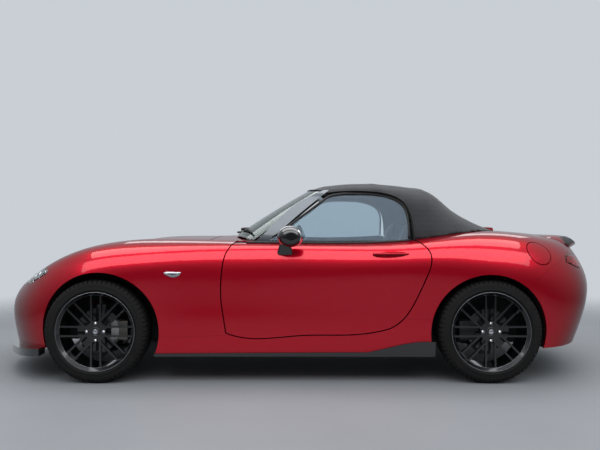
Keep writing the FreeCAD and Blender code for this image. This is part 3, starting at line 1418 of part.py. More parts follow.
def wheel_blank(disc_radius):
    """A right-hand wheel about its own centre, outboard towards +Y."""
    half_rim = rim_width / 2
    lip = rim_radius + rim_lip
    seat = half_rim - rim_shoulder
    barrel = turned([(lip, half_rim), (lip, half_rim - rim_wall), (rim_radius, seat), (rim_radius, -seat),
                     (lip, -half_rim + rim_wall), (lip, -half_rim), (rim_radius - rim_wall, -half_rim),
                     (rim_radius - rim_wall, half_rim - rim_flare), (lip - rim_wall, half_rim)])
    face_y = wheel_inset
    hub = rod(V(0, face_y - hub_reach, 0), V(0, face_y + hub_depth, 0), hub_radius)
    disc = rod(V(0, face_y - disc_offset - disc_wall / 2, 0), V(0, face_y - disc_offset + disc_wall / 2, 0),
               disc_radius)
    shaft = rod(V(0, face_y - shaft_length, 0), V(0, face_y, 0), shaft_radius)
    parts = [barrel, hub, disc, shaft]
    for index in range(spoke_pairs):
        for edge in (-1, 1):
            root = V(edge * spoke_root_spread / 2, 0, hub_radius - hub_overlap)
            tip = V(edge * spoke_spread / 2, 0, rim_radius - rim_wall / 2)
            bar = spoke_bar(root, tip, face_y + spoke_lift)
            bar.rotate(V(0, 0, 0), V(0, 1, 0), index * 360 / spoke_pairs)
            parts.append(bar)
    wheel = fused(parts)
    for index in range(stud_count):
        angle = math.radians(index * 360 / stud_count)
        spot = V(stud_circle / 2 * math.cos(angle), 0, stud_circle / 2 * math.sin(angle))
        wheel = wheel.cut(rod(spot + V(0, face_y + hub_depth - stud_sink, 0),
                              spot + V(0, face_y + hub_depth + stud_sink, 0), stud_bore / 2))
    return wheel


def spoke_bar(root, tip, face_y):
    run = tip - root
    bar = box(-spoke_width / 2, spoke_width / 2, face_y, face_y + spoke_depth, 0, run.Length)
    angle = math.degrees(math.atan2(run.x, run.z))
    bar.rotate(V(0, 0, 0), V(0, 1, 0), angle)
    bar.translate(root)
    return bar


def wheel(x, side, track, disc_radius):
    shape = wheel_blank(disc_radius)
    shape.translate(V(x, track / 2, tyre_radius))
    return shape if side > 0 else other_side(shape)


def tyre(x, side, track):
    height = tyre_radius - rim_radius - seat_gap
    flank = [(rim_radius + seat_gap + rise * height, reach * tyre_width / 2)
             for reach, rise in tyre_profile_shares]
    shape = turned(flank + [(radius, -place) for radius, place in reversed(flank)])
    shape.translate(V(x, side * track / 2, tyre_radius))
    return shape


hull = make_hull()
grown_hulls = {0: hull}
skin = hull.cut(hull_grown(-skin_wall))
made = {}


def write(name, shape):
    made[name] = shape
    shape.exportStep(os.path.join("parts", name + ".step"))


os.makedirs("parts", exist_ok=True)
write("front_bumper", front_bumper())
write("front_lip", front_lip())
write("grille", grille())
write("headlamps", headlamps())
write("front_wings", front_wings())
write("bonnet", bonnet())
write("cowl", cowl())
write("windscreen_frame", windscreen_frame())
write("windscreen", windscreen())
write("soft_top", soft_top())
write("rear_window", rear_window())
write("rear_body", rear_body())
write("fuel_flap", fuel_flap())
write("boot_lid", boot_lid())
write("boot_spoiler", boot_spoiler())
write("tail_lamps", tail_lamps())
write("rear_bumper", rear_bumper())
write("diffuser", diffuser())
write("sills", sills())
write("side_skirts", side_skirts())
for side, name in ((-1, "left"), (1, "right")):
    write("door_" + name, door(side))
    write("door_glass_" + name, door_glass(side))
    write("mirror_" + name, mirror(side))
    write("seat_" + name, seat(side))
    write("knuckle_" + name, knuckle(side))
    write("wheel_front_" + name, wheel(front_axle_x, side, track_front, disc_radius_front))
    write("wheel_rear_" + name, wheel(rear_axle_x, side, track_rear, disc_radius_rear))
    write("tyre_front_" + name, tyre(front_axle_x, side, track_front))
    write("tyre_rear_" + name, tyre(rear_axle_x, side, track_rear))
    write("arch_liner_front_" + name, front_liner(side))
    write("arch_liner_rear_" + name, rear_liner(side))
write("floor", floor_pan())
write("front_bulkhead", front_bulkhead())
write("rear_bulkhead", rear_bulkhead())
write("boot_tub", boot_tub())
write("dashboard", dashboard())
write("steering_wheel", steering_wheel())
write("steering_rack", steering_rack())
write("engine", engine())
write("exhaust", exhaust())
write("front_suspension", front_suspension())
write("rear_suspension", rear_suspension())
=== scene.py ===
"""Looks of a two-seat convertible car with its fabric hood up. Metres, -X is the front and +Z is up."""

import json
import logging
import math
from dataclasses import dataclass
from enum import Enum
from typing import Callable, Iterable, Sequence

import bmesh
import bpy
from mathutils import Matrix, Vector, noise
from mathutils.bvhtree import BVHTree

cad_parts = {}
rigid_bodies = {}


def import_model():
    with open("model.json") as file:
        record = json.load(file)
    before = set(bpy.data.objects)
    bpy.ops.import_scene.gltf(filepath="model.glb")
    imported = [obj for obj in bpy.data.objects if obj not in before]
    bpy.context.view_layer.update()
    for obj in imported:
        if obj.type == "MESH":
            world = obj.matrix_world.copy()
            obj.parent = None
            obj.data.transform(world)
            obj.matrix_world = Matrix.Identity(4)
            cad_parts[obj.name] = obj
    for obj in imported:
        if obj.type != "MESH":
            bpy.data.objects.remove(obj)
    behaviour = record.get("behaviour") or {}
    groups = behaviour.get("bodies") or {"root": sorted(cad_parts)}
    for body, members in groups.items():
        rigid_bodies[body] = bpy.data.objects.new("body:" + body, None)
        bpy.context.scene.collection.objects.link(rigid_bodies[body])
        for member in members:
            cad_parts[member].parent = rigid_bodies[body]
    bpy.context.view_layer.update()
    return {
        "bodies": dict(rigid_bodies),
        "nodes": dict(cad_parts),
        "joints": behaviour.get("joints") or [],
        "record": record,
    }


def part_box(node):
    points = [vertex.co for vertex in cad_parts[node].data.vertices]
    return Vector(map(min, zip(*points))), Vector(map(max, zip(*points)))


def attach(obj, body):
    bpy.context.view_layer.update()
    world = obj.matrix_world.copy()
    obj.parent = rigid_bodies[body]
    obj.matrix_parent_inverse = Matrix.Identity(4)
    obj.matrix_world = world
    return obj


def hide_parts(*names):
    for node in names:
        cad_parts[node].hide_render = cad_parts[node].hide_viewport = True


LOG = logging.getLogger("convertible")
MM = 0.001
Point = tuple[float, float, float]
Pair = tuple[float, float]
Pairs = tuple[Pair, ...]
Colour = tuple[float, ...]
Faces = list[list[int]]
Hit = tuple[Vector, Vector] | None
Thing = bpy.types.Object
Tree = bpy.types.NodeTree
Socket = bpy.types.NodeSocket
FORWARD = Vector((-1.0, 0.0, 0.0))
REARWARD = Vector((1.0, 0.0, 0.0))
UP = Vector((0.0, 0.0, 1.0))
MERGE = 1e-5
THREAD_LIFT = 0.0006
SEAM_MIN_POINTS = 4


class Side(Enum):
    """The two sides of the car, by the sign of Y."""

    LEFT = -1
    RIGHT = 1

    @property
    def word(self) -> str:
        """The side as node names say it."""
        return self.name.lower()


def linear(code: str) -> Colour:
    """Turns six hex digits of sRGB to linear red, green, blue and a full alpha."""
    values = [int(code[i:i + 2], 16) / 255 for i in (0, 2, 4)]
    return tuple(v / 12.92 if v <= 0.04045 else ((v + 0.055) / 1.055) ** 2.4 for v in values) + (1.0,)


def add_node(tree: Tree, kind: str, settings: dict | None = None,
             inputs: dict | None = None) -> bpy.types.Node:
    """Adds one node.

    Args:
        tree: the node tree that takes it.
        kind: the node's type name.
        settings: its properties, by name.
        inputs: socket name or index to a value, or to an output socket that feeds it.

    Returns:
        The node.
    """
    node = tree.nodes.new(kind)
    for key, value in (settings or {}).items():
        setattr(node, key, value)
    for key, value in (inputs or {}).items():
        if isinstance(value, Socket):
            tree.links.new(value, node.inputs[key])
        else:
            node.inputs[key].default_value = value
    return node


def maths(tree: Tree, operation: str, first: Socket | float, second: Socket | float = 0.0) -> Socket:
    """One sum, product or test of two values."""
    return add_node(tree, "ShaderNodeMath", {"operation": operation}, {0: first, 1: second}).outputs[0]


def ranged(tree: Tree, value: Socket, ends: dict[str, float], kind: str = "LINEAR") -> Socket:
    """A value mapped from one range to another, the ends named as on the node."""
    return add_node(tree, "ShaderNodeMapRange", {"interpolation_type": kind}, {
        "Value": value, **ends}).outputs["Result"]


def mixed(tree: Tree, share: Socket, first: Socket | Colour, second: Socket | Colour) -> Socket:
    """Two colours mixed by a share."""
    sockets = {0: share, 6: first, 7: second}
    return add_node(tree, "ShaderNodeMix", {"data_type": "RGBA"}, sockets).outputs[2]


def cloud(tree: Tree, coords: Socket, size_mm: float, detail: float, roughness: float = 0.5) -> Socket:
    """Noise of a given grain."""
    return add_node(tree, "ShaderNodeTexNoise", inputs={
        "Vector": coords, "Scale": 1 / (size_mm * MM), "Detail": detail,
        "Roughness": roughness}).outputs["Fac"]


@dataclass(frozen=True)
class Finish:
    """A surface: its colours, gloss and the grain that the hand would feel."""

    name: str
    colour: str
    shade: str
    roughness: float
    metallic: float = 0.0
    ior: float = 1.5
    coat: float = 0.0
    coat_roughness: float = 0.05
    sheen: float = 0.0
    specular: float = 0.5
    mottle_mm: float = 60.0
    grain_mm: float = 1.0
    grain_depth_mm: float = 0.0
    roughness_spread: float = 0.0

    def mottle(self, tree: Tree, coords: Socket) -> Socket:
        """A slow noise from 0 to 1 that shifts colour and gloss."""
        patches = cloud(tree, coords, self.mottle_mm, 4.0, 0.55)
        return ranged(tree, patches, {"From Min": 0.3, "From Max": 0.7})

    def height(self, tree: Tree, coords: Socket) -> Socket:
        """The grain's height from 0 to 1."""
        return cloud(tree, coords, self.grain_mm, 2.0)

    def tint(self, tree: Tree, coords: Socket) -> Socket:
        """The base colour, mottled between the two colours."""
        return mixed(tree, self.mottle(tree, coords), linear(self.colour), linear(self.shade))

    def dress(self, tree: Tree, shader: bpy.types.Node, coords: Socket) -> None:
        """Sets what a special finish adds to its shader."""

    def surface(self, tree: Tree, shader: bpy.types.Node) -> Socket:
        """The socket that feeds the output."""
        return shader.outputs["BSDF"]

    def material(self) -> bpy.types.Material:
        """The finish as a material, made once."""
        made = bpy.data.materials.get(self.name)
        if made:
            return made
        made = bpy.data.materials.new(self.name)
        made.use_nodes = True
        tree = made.node_tree
        tree.nodes.clear()
        coords = add_node(tree, "ShaderNodeTexCoord").outputs["Object"]
        shader = add_node(tree, "ShaderNodeBsdfPrincipled", inputs={
            "Base Color": self.tint(tree, coords), "Metallic": self.metallic, "IOR": self.ior,
            "Roughness": self.roughness, "Coat Weight": self.coat, "Coat Roughness": self.coat_roughness,
            "Sheen Weight": self.sheen, "Specular IOR Level": self.specular})
        if self.roughness_spread:
            spread = ranged(tree, self.mottle(tree, coords), {
                "To Min": self.roughness - self.roughness_spread,
                "To Max": self.roughness + self.roughness_spread})
            tree.links.new(spread, shader.inputs["Roughness"])
        if self.grain_depth_mm:
            bump = add_node(tree, "ShaderNodeBump", inputs={
                "Height": self.height(tree, coords), "Distance": self.grain_depth_mm * MM, "Strength": 1.0})
            tree.links.new(bump.outputs["Normal"], shader.inputs["Normal"])
        self.dress(tree, shader, coords)
        add_node(tree, "ShaderNodeOutputMaterial", inputs={"Surface": self.surface(tree, shader)})
        return made


@dataclass(frozen=True)
class FlakeEnamel(Finish):
    """Metallic enamel under clear lacquer: bright where faced, deep at its edges, with fine flakes."""

    deep: str = "42010C"
    graze: str = "7A1020"
    flake_mm: float = 1.6
    flake_edge: float = 0.9
    flake_share: float = 0.22
    flop_blend: float = 0.35

    def tint(self, tree: Tree, coords: Socket) -> Socket:
        """The flop from faced to grazed, with flakes drawn coarser than real so that they show."""
        faced = add_node(tree, "ShaderNodeLayerWeight", inputs={"Blend": self.flop_blend})
        flop = mixed(tree, faced.outputs["Facing"], linear(self.colour), linear(self.deep))
        flakes = add_node(tree, "ShaderNodeTexVoronoi", inputs={
            "Vector": coords, "Scale": 1 / (self.flake_mm * MM)})
        share = ranged(tree, flakes.outputs["Distance"], {
            "From Max": self.flake_edge, "To Max": self.flake_share})
        return mixed(tree, share, flop, linear(self.shade))

    def dress(self, tree: Tree, shader: bpy.types.Node, coords: Socket) -> None:
        """Keeps the metal red where it is grazed."""
        shader.inputs["Specular Tint"].default_value = linear(self.graze)


@dataclass(frozen=True)
class LinedEnamel(FlakeEnamel):
    """The same enamel outside, with black trim cloth on the faces that look into the cabin."""

    lined_y: float = 0.728
    lined_to_x: float = 9.0
    lining: str = "1C1C1E"
    lining_roughness: float = 0.75

    def dress(self, tree: Tree, shader: bpy.types.Node, coords: Socket) -> None:
        """Switches colour, metal, gloss and lacquer inside the cabin."""
        FlakeEnamel.dress(self, tree, shader, coords)
        parts = add_node(tree, "ShaderNodeSeparateXYZ", inputs={"Vector": coords}).outputs
        near = maths(tree, "LESS_THAN", maths(tree, "ABSOLUTE", parts["Y"]), self.lined_y)
        inside = maths(tree, "MULTIPLY", near, maths(tree, "LESS_THAN", parts["X"], self.lined_to_x))
        enamel = shader.inputs["Base Color"].links[0].from_socket
        tree.links.new(mixed(tree, inside, enamel, linear(self.lining)), shader.inputs["Base Color"])
        for socket, painted, lined in (("Metallic", self.metallic, 0.0), ("Coat Weight", self.coat, 0.0),
                                       ("Roughness", self.roughness, self.lining_roughness)):
            tree.links.new(ranged(tree, inside, {"To Min": painted, "To Max": lined}), shader.inputs[socket])


@dataclass(frozen=True)
class HoodCloth(Finish):
    """Acrylic hood cloth: a twill of crossed threads over a padded layer."""

    thread_mm: float = 5.0
    crossing: float = 0.6

    def height(self, tree: Tree, coords: Socket) -> Socket:
        """Crossed bands, drawn five times as coarse as the real thread so that the weave shows."""
        bands = [add_node(tree, "ShaderNodeTexWave", {"bands_direction": way}, {
            "Vector": coords, "Scale": 1 / (self.thread_mm * MM) / 20, "Distortion": self.crossing,
            "Detail": 1.0}).outputs["Fac"] for way in ("X", "Y", "Z")]
        woven = maths(tree, "MULTIPLY", maths(tree, "MAXIMUM", bands[0], bands[1]), bands[2])
        return maths(tree, "ADD", woven, cloud(tree, coords, self.grain_mm, 3.0))


@dataclass(frozen=True)
class Hide(Finish):
    """Grained leather: small cells between creases."""

    crease: float = 0.25

    def height(self, tree: Tree, coords: Socket) -> Socket:
        """Cells with sunk edges."""
        cells = add_node(tree, "ShaderNodeTexVoronoi", {"feature": "DISTANCE_TO_EDGE"}, {
            "Vector": coords, "Scale": 1 / (self.grain_mm * MM)})
        return ranged(tree, cells.outputs["Distance"], {"From Max": self.crease})


@dataclass(frozen=True)
class Brushed(Finish):
    """Metal brushed along X: long fine scratches."""

    stretch: float = 30.0

    def height(self, tree: Tree, coords: Socket) -> Socket:
        """Noise stretched along X."""
        long = add_node(tree, "ShaderNodeMapping", inputs={
            "Vector": coords, "Scale": (1 / self.stretch, 1.0, 1.0)}).outputs["Vector"]
        return cloud(tree, long, self.grain_mm, 3.0)


@dataclass(frozen=True)
class Glazing(Finish):
    """Clear or tinted glass or moulded lens that lets the lamps through to what is behind it."""

    clear: float = 0.9
    film: str = "FFFFFF"

    def dress(self, tree: Tree, shader: bpy.types.Node, coords: Socket) -> None:
        """Makes the shader a clear one, with its film's tint in what it mirrors."""
        shader.inputs["Transmission Weight"].default_value = 1.0
        shader.inputs["Specular Tint"].default_value = linear(self.film)

    def surface(self, tree: Tree, shader: bpy.types.Node) -> Socket:
        """Glass to the eye, and a tinted opening to rays from the lamps."""
        tint = tuple(self.clear * v for v in linear(self.colour)[:3]) + (1.0,)
        opening = add_node(tree, "ShaderNodeBsdfTransparent", inputs={"Color": tint})
        return add_node(tree, "ShaderNodeMixShader", inputs={
            0: add_node(tree, "ShaderNodeLightPath").outputs["Is Shadow Ray"], 1: shader.outputs["BSDF"],
            2: opening.outputs["BSDF"]}).outputs["Shader"]


@dataclass(frozen=True)
class HubIron(Finish):
    """Cast iron of hub and caliper, with the disc's face turned bright where the pads sweep it."""

    axle: Point = (-1.2025, 0.0, 0.303)
    sweep: Pair = (0.072, 0.124)
    bright: str = "C6C5C2"

    def tint(self, tree: Tree, coords: Socket) -> Socket:
        """Dark iron, bright in the swept ring."""
        parts = add_node(tree, "ShaderNodeSeparateXYZ", inputs={"Vector": coords}).outputs
        flat = add_node(tree, "ShaderNodeCombineXYZ", inputs={"X": parts["X"], "Z": parts["Z"]})
        reach = add_node(tree, "ShaderNodeVectorMath", {"operation": "DISTANCE"}, {
            0: flat.outputs["Vector"], 1: self.axle}).outputs["Value"]
        inner, outer = self.sweep
        swept = maths(tree, "MULTIPLY", maths(tree, "GREATER_THAN", reach, inner),
                      maths(tree, "LESS_THAN", reach, outer))
        return mixed(tree, swept, linear(self.colour), linear(self.bright))


@dataclass(frozen=True)
class FadingFloor(Finish):
    """Matt floor paint that thins out to nothing a few metres from the car."""

    solid_to: float = 2.9
    gone_at: float = 5.6

    def surface(self, tree: Tree, shader: bpy.types.Node) -> Socket:
        """The paint near the car, an opening far from it."""
        coords = add_node(tree, "ShaderNodeTexCoord").outputs["Object"]
        reach = add_node(tree, "ShaderNodeVectorMath", {"operation": "LENGTH"}, {0: coords}).outputs["Value"]
        share = ranged(tree, reach, {"From Min": self.solid_to, "From Max": self.gone_at}, "SMOOTHSTEP")
        opening = add_node(tree, "ShaderNodeBsdfTransparent")
        return add_node(tree, "ShaderNodeMixShader", inputs={
            0: share, 1: shader.outputs["BSDF"], 2: opening.outputs["BSDF"]}).outputs["Shader"]


ENAMEL = {"colour": "C4001C", "shade": "E01A44", "roughness": 0.32, "metallic": 0.75, "coat": 0.8,
          "coat_roughness": 0.015, "specular": 0.0}
# Metallic enamel: warm red flakes under lacquer, mirror-smooth, deep red where it turns away
RED_ENAMEL = FlakeEnamel("red_metallic_enamel", **ENAMEL)
# The same enamel on pieces whose inner faces are lined with cloth
DOOR_ENAMEL = LinedEnamel("red_enamel_lined_door", **ENAMEL)
DECK_ENAMEL = LinedEnamel("red_enamel_lined_deck", **ENAMEL, lined_y=0.66, lined_to_x=0.93)
# Gloss black moulded acrylic of skirts, lip and mirrors
BLACK_GLOSS = Finish("gloss_black_acrylic", "0B0B0C", "101012", 0.18, coat=1.0, coat_roughness=0.03,
                     mottle_mm=120)
# Enamel on the pressed steel screen surround: gloss black, with the pale room's reflection painted in as a
# silver-grey base colour
PILLAR_ENAMEL = Finish("silver_grey_enamel", "565B62", "4D5258", 0.28, metallic=0.7, coat=1.0,
                       coat_roughness=0.03, mottle_mm=200)
# Moulded polypropylene: matt, finely pebbled
MOULDED_BLACK = Finish("moulded_polypropylene", "1B1B1C", "232324", 0.62, grain_mm=2.2,
                       grain_depth_mm=0.12, roughness_spread=0.06)
# Soft-touch moulding of the fascia and trim
CABIN_TRIM = Finish("soft_touch_trim", "1E1E20", "27272A", 0.58, grain_mm=1.8, grain_depth_mm=0.15,
                    roughness_spread=0.05)
# Acrylic hood cloth: dull, with a faint sheen along its threads
HOOD_CLOTH = HoodCloth("woven_hood_cloth", "1E2023", "26282C", 0.92, sheen=0.08, grain_mm=1.5,
                       grain_depth_mm=0.5, mottle_mm=140)
# Tyre rubber: matt, browned by dust in the tread
TYRE_RUBBER = Finish("dusty_tyre_rubber", "111112", "1B1A19", 0.78, grain_mm=1.2, grain_depth_mm=0.1,
                     mottle_mm=40, roughness_spread=0.08, specular=0.2)
# Synthetic rubber seals
SEAL_RUBBER = Finish("seal_rubber", "101011", "161617", 0.6, mottle_mm=30)
# Cast alloy wheel in gloss black enamel
WHEEL_ENAMEL = Finish("gloss_black_wheel_enamel", "0D0D0F", "151517", 0.24, metallic=0.2, coat=0.9,
                      mottle_mm=90)
# Chromed steel of the wheel nuts
CHROME = Finish("chromed_steel", "D9DBDE", "C9CCD0", 0.08, metallic=1.0, mottle_mm=20)
# Bright grey alloy: on the rim, two thin rings that are painted highlights along its edges; on weights, vents
# and speaker rings, real metal
ALLOY_AND_PAINTED_RIM_HIGHLIGHT = Finish("turned_alloy_edge", "8F9194", "A2A4A7", 0.3, metallic=1.0, mottle_mm=25)
# Vacuum-plated reflector behind the lamp lenses
REFLECTOR = Finish("plated_reflector", "C8CBCF", "B4B7BC", 0.12, metallic=1.0, mottle_mm=30)
# Cast iron knuckle and caliper with a turned disc face
DISC_IRON = HubIron("cast_iron_and_turned_disc", "77746E", "85827C", 0.42, metallic=0.85, grain_mm=1.5,
                    grain_depth_mm=0.08)
# Cast iron and pressed steel of the axles, satin black
CHASSIS_IRON = Finish("satin_black_chassis_steel", "2C2C2E", "3A3938", 0.5, metallic=0.4, grain_mm=3.0,
                      grain_depth_mm=0.15, roughness_spread=0.1)
# Sealed pressed steel of the underbody
UNDERSEAL = Finish("underseal_on_steel", "232426", "2E2E2F", 0.66, grain_mm=4.0, grain_depth_mm=0.3,
                   roughness_spread=0.08)
# Stainless exhaust, browned a little by heat
EXHAUST_STEEL = Brushed("brushed_stainless", "A09C96", "8A8278", 0.3, metallic=1.0, grain_mm=0.8,
                        grain_depth_mm=0.05, roughness_spread=0.08)
# Sand-cast alloy of the engine block
CAST_ALLOY = Finish("cast_alloy", "8D8F91", "7A7B7D", 0.5, metallic=0.9, grain_mm=2.5,
                    grain_depth_mm=0.25, roughness_spread=0.08)
# Grained hide of the seats
SEAT_HIDE = Hide("black_grained_leather", "1D1C1C", "262524", 0.5, grain_mm=3.2, grain_depth_mm=0.25,
                 roughness_spread=0.06, sheen=0.1)
# Waxed thread of the seats' seams
THREAD = Finish("waxed_thread", "7E7E80", "8C8C8E", 0.7, mottle_mm=5)
# Bonded nylon thread of the hood's seams
HOOD_THREAD = Finish("bonded_nylon_thread", "34363A", "3E4044", 0.6, mottle_mm=5)
# Side and rear glass, faintly blue-grey
TINTED_GLASS = Glazing("tinted_safety_glass", "C6D3D9", "C6D3D9", 0.0, mottle_mm=500, film="D0E2F6")
# Laminated green-grey screen, coated against glare
SCREEN_GLASS = Glazing("laminated_screen_glass", "8A9994", "8A9994", 0.0, ior=1.12, mottle_mm=500,
                       film="525E60")
# Clear polycarbonate lamp lens
CLEAR_LENS = Glazing("clear_polycarbonate", "F4F6F7", "F4F6F7", 0.02, ior=1.45, mottle_mm=500)
# Red acrylic lamp lens
RED_LENS = Glazing("red_acrylic_lens", "E0142A", "D00E22", 0.04, ior=1.25, mottle_mm=80, film="F4808C")
# Faceted red moulding behind the tail lens
RED_TUB = Finish("red_reflex_moulding", "C4121F", "8E0A14", 0.25, coat=1.0, mottle_mm=9)
# Mirror glass: silvered float glass
MIRROR_GLASS = Finish("silvered_glass", "DADDE0", "D2D5D8", 0.03, metallic=1.0, mottle_mm=300)
# Blank plate of reflective sheet
PLATE_SHEET = Finish("blank_plate_sheet", "DADBD8", "D0D1CE", 0.45, coat=0.5)
# Painted floor of the studio, which ends softly round the car
FLOOR_PAINT = FadingFloor("pale_floor_paint", "808387", "7B7E82", 0.6, mottle_mm=900)

NODE_FINISHES: dict[Finish, tuple[str, ...]] = {
    DOOR_ENAMEL: ("door_left", "door_right"),
    DECK_ENAMEL: ("rear_body",),
    RED_ENAMEL: ("front_bumper", "front_wings", "bonnet", "cowl", "fuel_flap", "boot_lid",
                 "boot_spoiler", "rear_bumper", "sills"),
    BLACK_GLOSS: ("front_lip", "side_skirts", "mirror_left", "mirror_right"),
    PILLAR_ENAMEL: ("windscreen_frame",),
    MOULDED_BLACK: ("grille", "diffuser", "arch_liner_front_left", "arch_liner_front_right",
                    "arch_liner_rear_left", "arch_liner_rear_right"),
    CABIN_TRIM: ("dashboard", "steering_wheel", "rear_bulkhead"),
    TINTED_GLASS: ("rear_window", "door_glass_left", "door_glass_right"),
    SCREEN_GLASS: ("windscreen",),
    WHEEL_ENAMEL: ("wheel_front_left", "wheel_front_right", "wheel_rear_left", "wheel_rear_right"),
    DISC_IRON: ("knuckle_left", "knuckle_right"),
    CHASSIS_IRON: ("front_suspension", "rear_suspension", "steering_rack"),
    UNDERSEAL: ("floor", "front_bulkhead", "boot_tub"),
    EXHAUST_STEEL: ("exhaust",),
    CAST_ALLOY: ("engine",),
}


def span(node: str) -> tuple[Vector, Vector, Vector]:
    """A CAD node's low corner, high corner and middle."""
    low, high = (Vector(p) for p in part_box(node))
    return low, high, (low + high) / 2


def strips(rows: int, size: int, ring: bool = False, wrap: bool = True) -> Faces:
    """Quads between neighbouring rows of points.

    Args:
        rows: how many rows.
        size: points in a row.
        ring: whether the last row joins the first.
        wrap: whether a row's last point joins its first.

    Returns:
        The faces.
    """
    faces = []
    for i in range(rows if ring else rows - 1):
        j = (i + 1) % rows
        for k in range(size if wrap else size - 1):
            m = (k + 1) % size
            faces.append([i * size + k, i * size + m, j * size + m, j * size + k])
    return faces


def bar(rows: Sequence[Sequence[Sequence[float]]]) -> tuple[list[Sequence[float]], Faces]:
    """A closed bar through rows of four corners: near low, near high, far low and far high."""
    end = 4 * (len(rows) - 1)
    faces = [[0, 2, 3, 1], [end, end + 1, end + 3, end + 2]]
    for a in range(0, end, 4):
        b = a + 4
        faces += [[a + 1, a + 3, b + 3, b + 1], [a, a + 1, b + 1, b], [a + 2, b + 2, b + 3, a + 3],
                  [a, b, b + 2, a + 2]]
    return [p for row in rows for p in row], faces


def oval(width: float, height: float, sides: int = 12) -> list[Pair]:
    """An oval section."""
    turn = 2 * math.pi / sides
    return [(width / 2 * math.cos(i * turn), height / 2 * math.sin(i * turn)) for i in range(sides)]


def smooth_outline(corners: Sequence[Pair], steps: int) -> list[Pair]:
    """Rounds a closed outline with a periodic curve through its corners."""
    count = len(corners)
    made = []
    for i in range(count):
        four = [corners[(i + k) % count] for k in (-1, 0, 1, 2)]
        for t in (j / steps for j in range(steps)):
            made.append(tuple(
                0.5 * (2 * b + (c - a) * t + (2 * a - 5 * b + 4 * c - d) * t * t
                       + (3 * b - a - 3 * c + d) * t ** 3)
                for a, b, c, d in zip(*four)))
    return made


def keep_patch(work: bmesh.types.BMesh, seed: bmesh.types.BMFace, least: float) -> None:
    """Deletes all faces but those that run on from a seed face without a sharp turn.

    Args:
        work: the mesh.
        seed: the first face.
        least: the least dot product of neighbours' normals.
    """
    kept, front = {seed}, [seed]
    while front:
        face = front.pop()
        for near in (f for e in face.edges for f in e.link_faces):
            if near not in kept and near.normal.dot(face.normal) > least:
                kept.add(near)
                front.append(near)
    bmesh.ops.delete(work, geom=[f for f in work.faces if f not in kept], context="FACES")


def raised(hits: Iterable[Hit]) -> list[Vector]:
    """The points of a seam, lifted off their surface by the thread's half thickness."""
    return [hit[0] + hit[1] * THREAD_LIFT for hit in hits if hit]


class Skin:
    """The surface of one or more objects, to set pieces on."""

    def __init__(self, *names: str) -> None:
        """Reads the named objects' meshes."""
        points: list[Vector] = []
        faces: Faces = []
        for name in names:
            mesh = bpy.data.objects[name].data
            start = len(points)
            points += [v.co.copy() for v in mesh.vertices]
            faces += [[start + i for i in f.vertices] for f in mesh.polygons]
        self.tree = BVHTree.FromPolygons(points, faces)

    def hit(self, start: Sequence[float], way: Sequence[float]) -> Hit:
        """The first point and outward normal along a ray."""
        way = Vector(way).normalized()
        place, normal, _, _ = self.tree.ray_cast(Vector(start), way)
        if place is None:
            return None
        return place, -normal if normal.dot(way) > 0 else normal

    def side(self, x: float, z: float, side: Side) -> Hit:
        """The point of the skin seen from that side of the car at x and z."""
        return self.hit((x, side.value * 1.5, z), (0.0, -side.value, 0.0))

    def top(self, x: float, y: float) -> Hit:
        """The point of the skin seen from above at x and y."""
        return self.hit((x, y, 2.0), -UP)


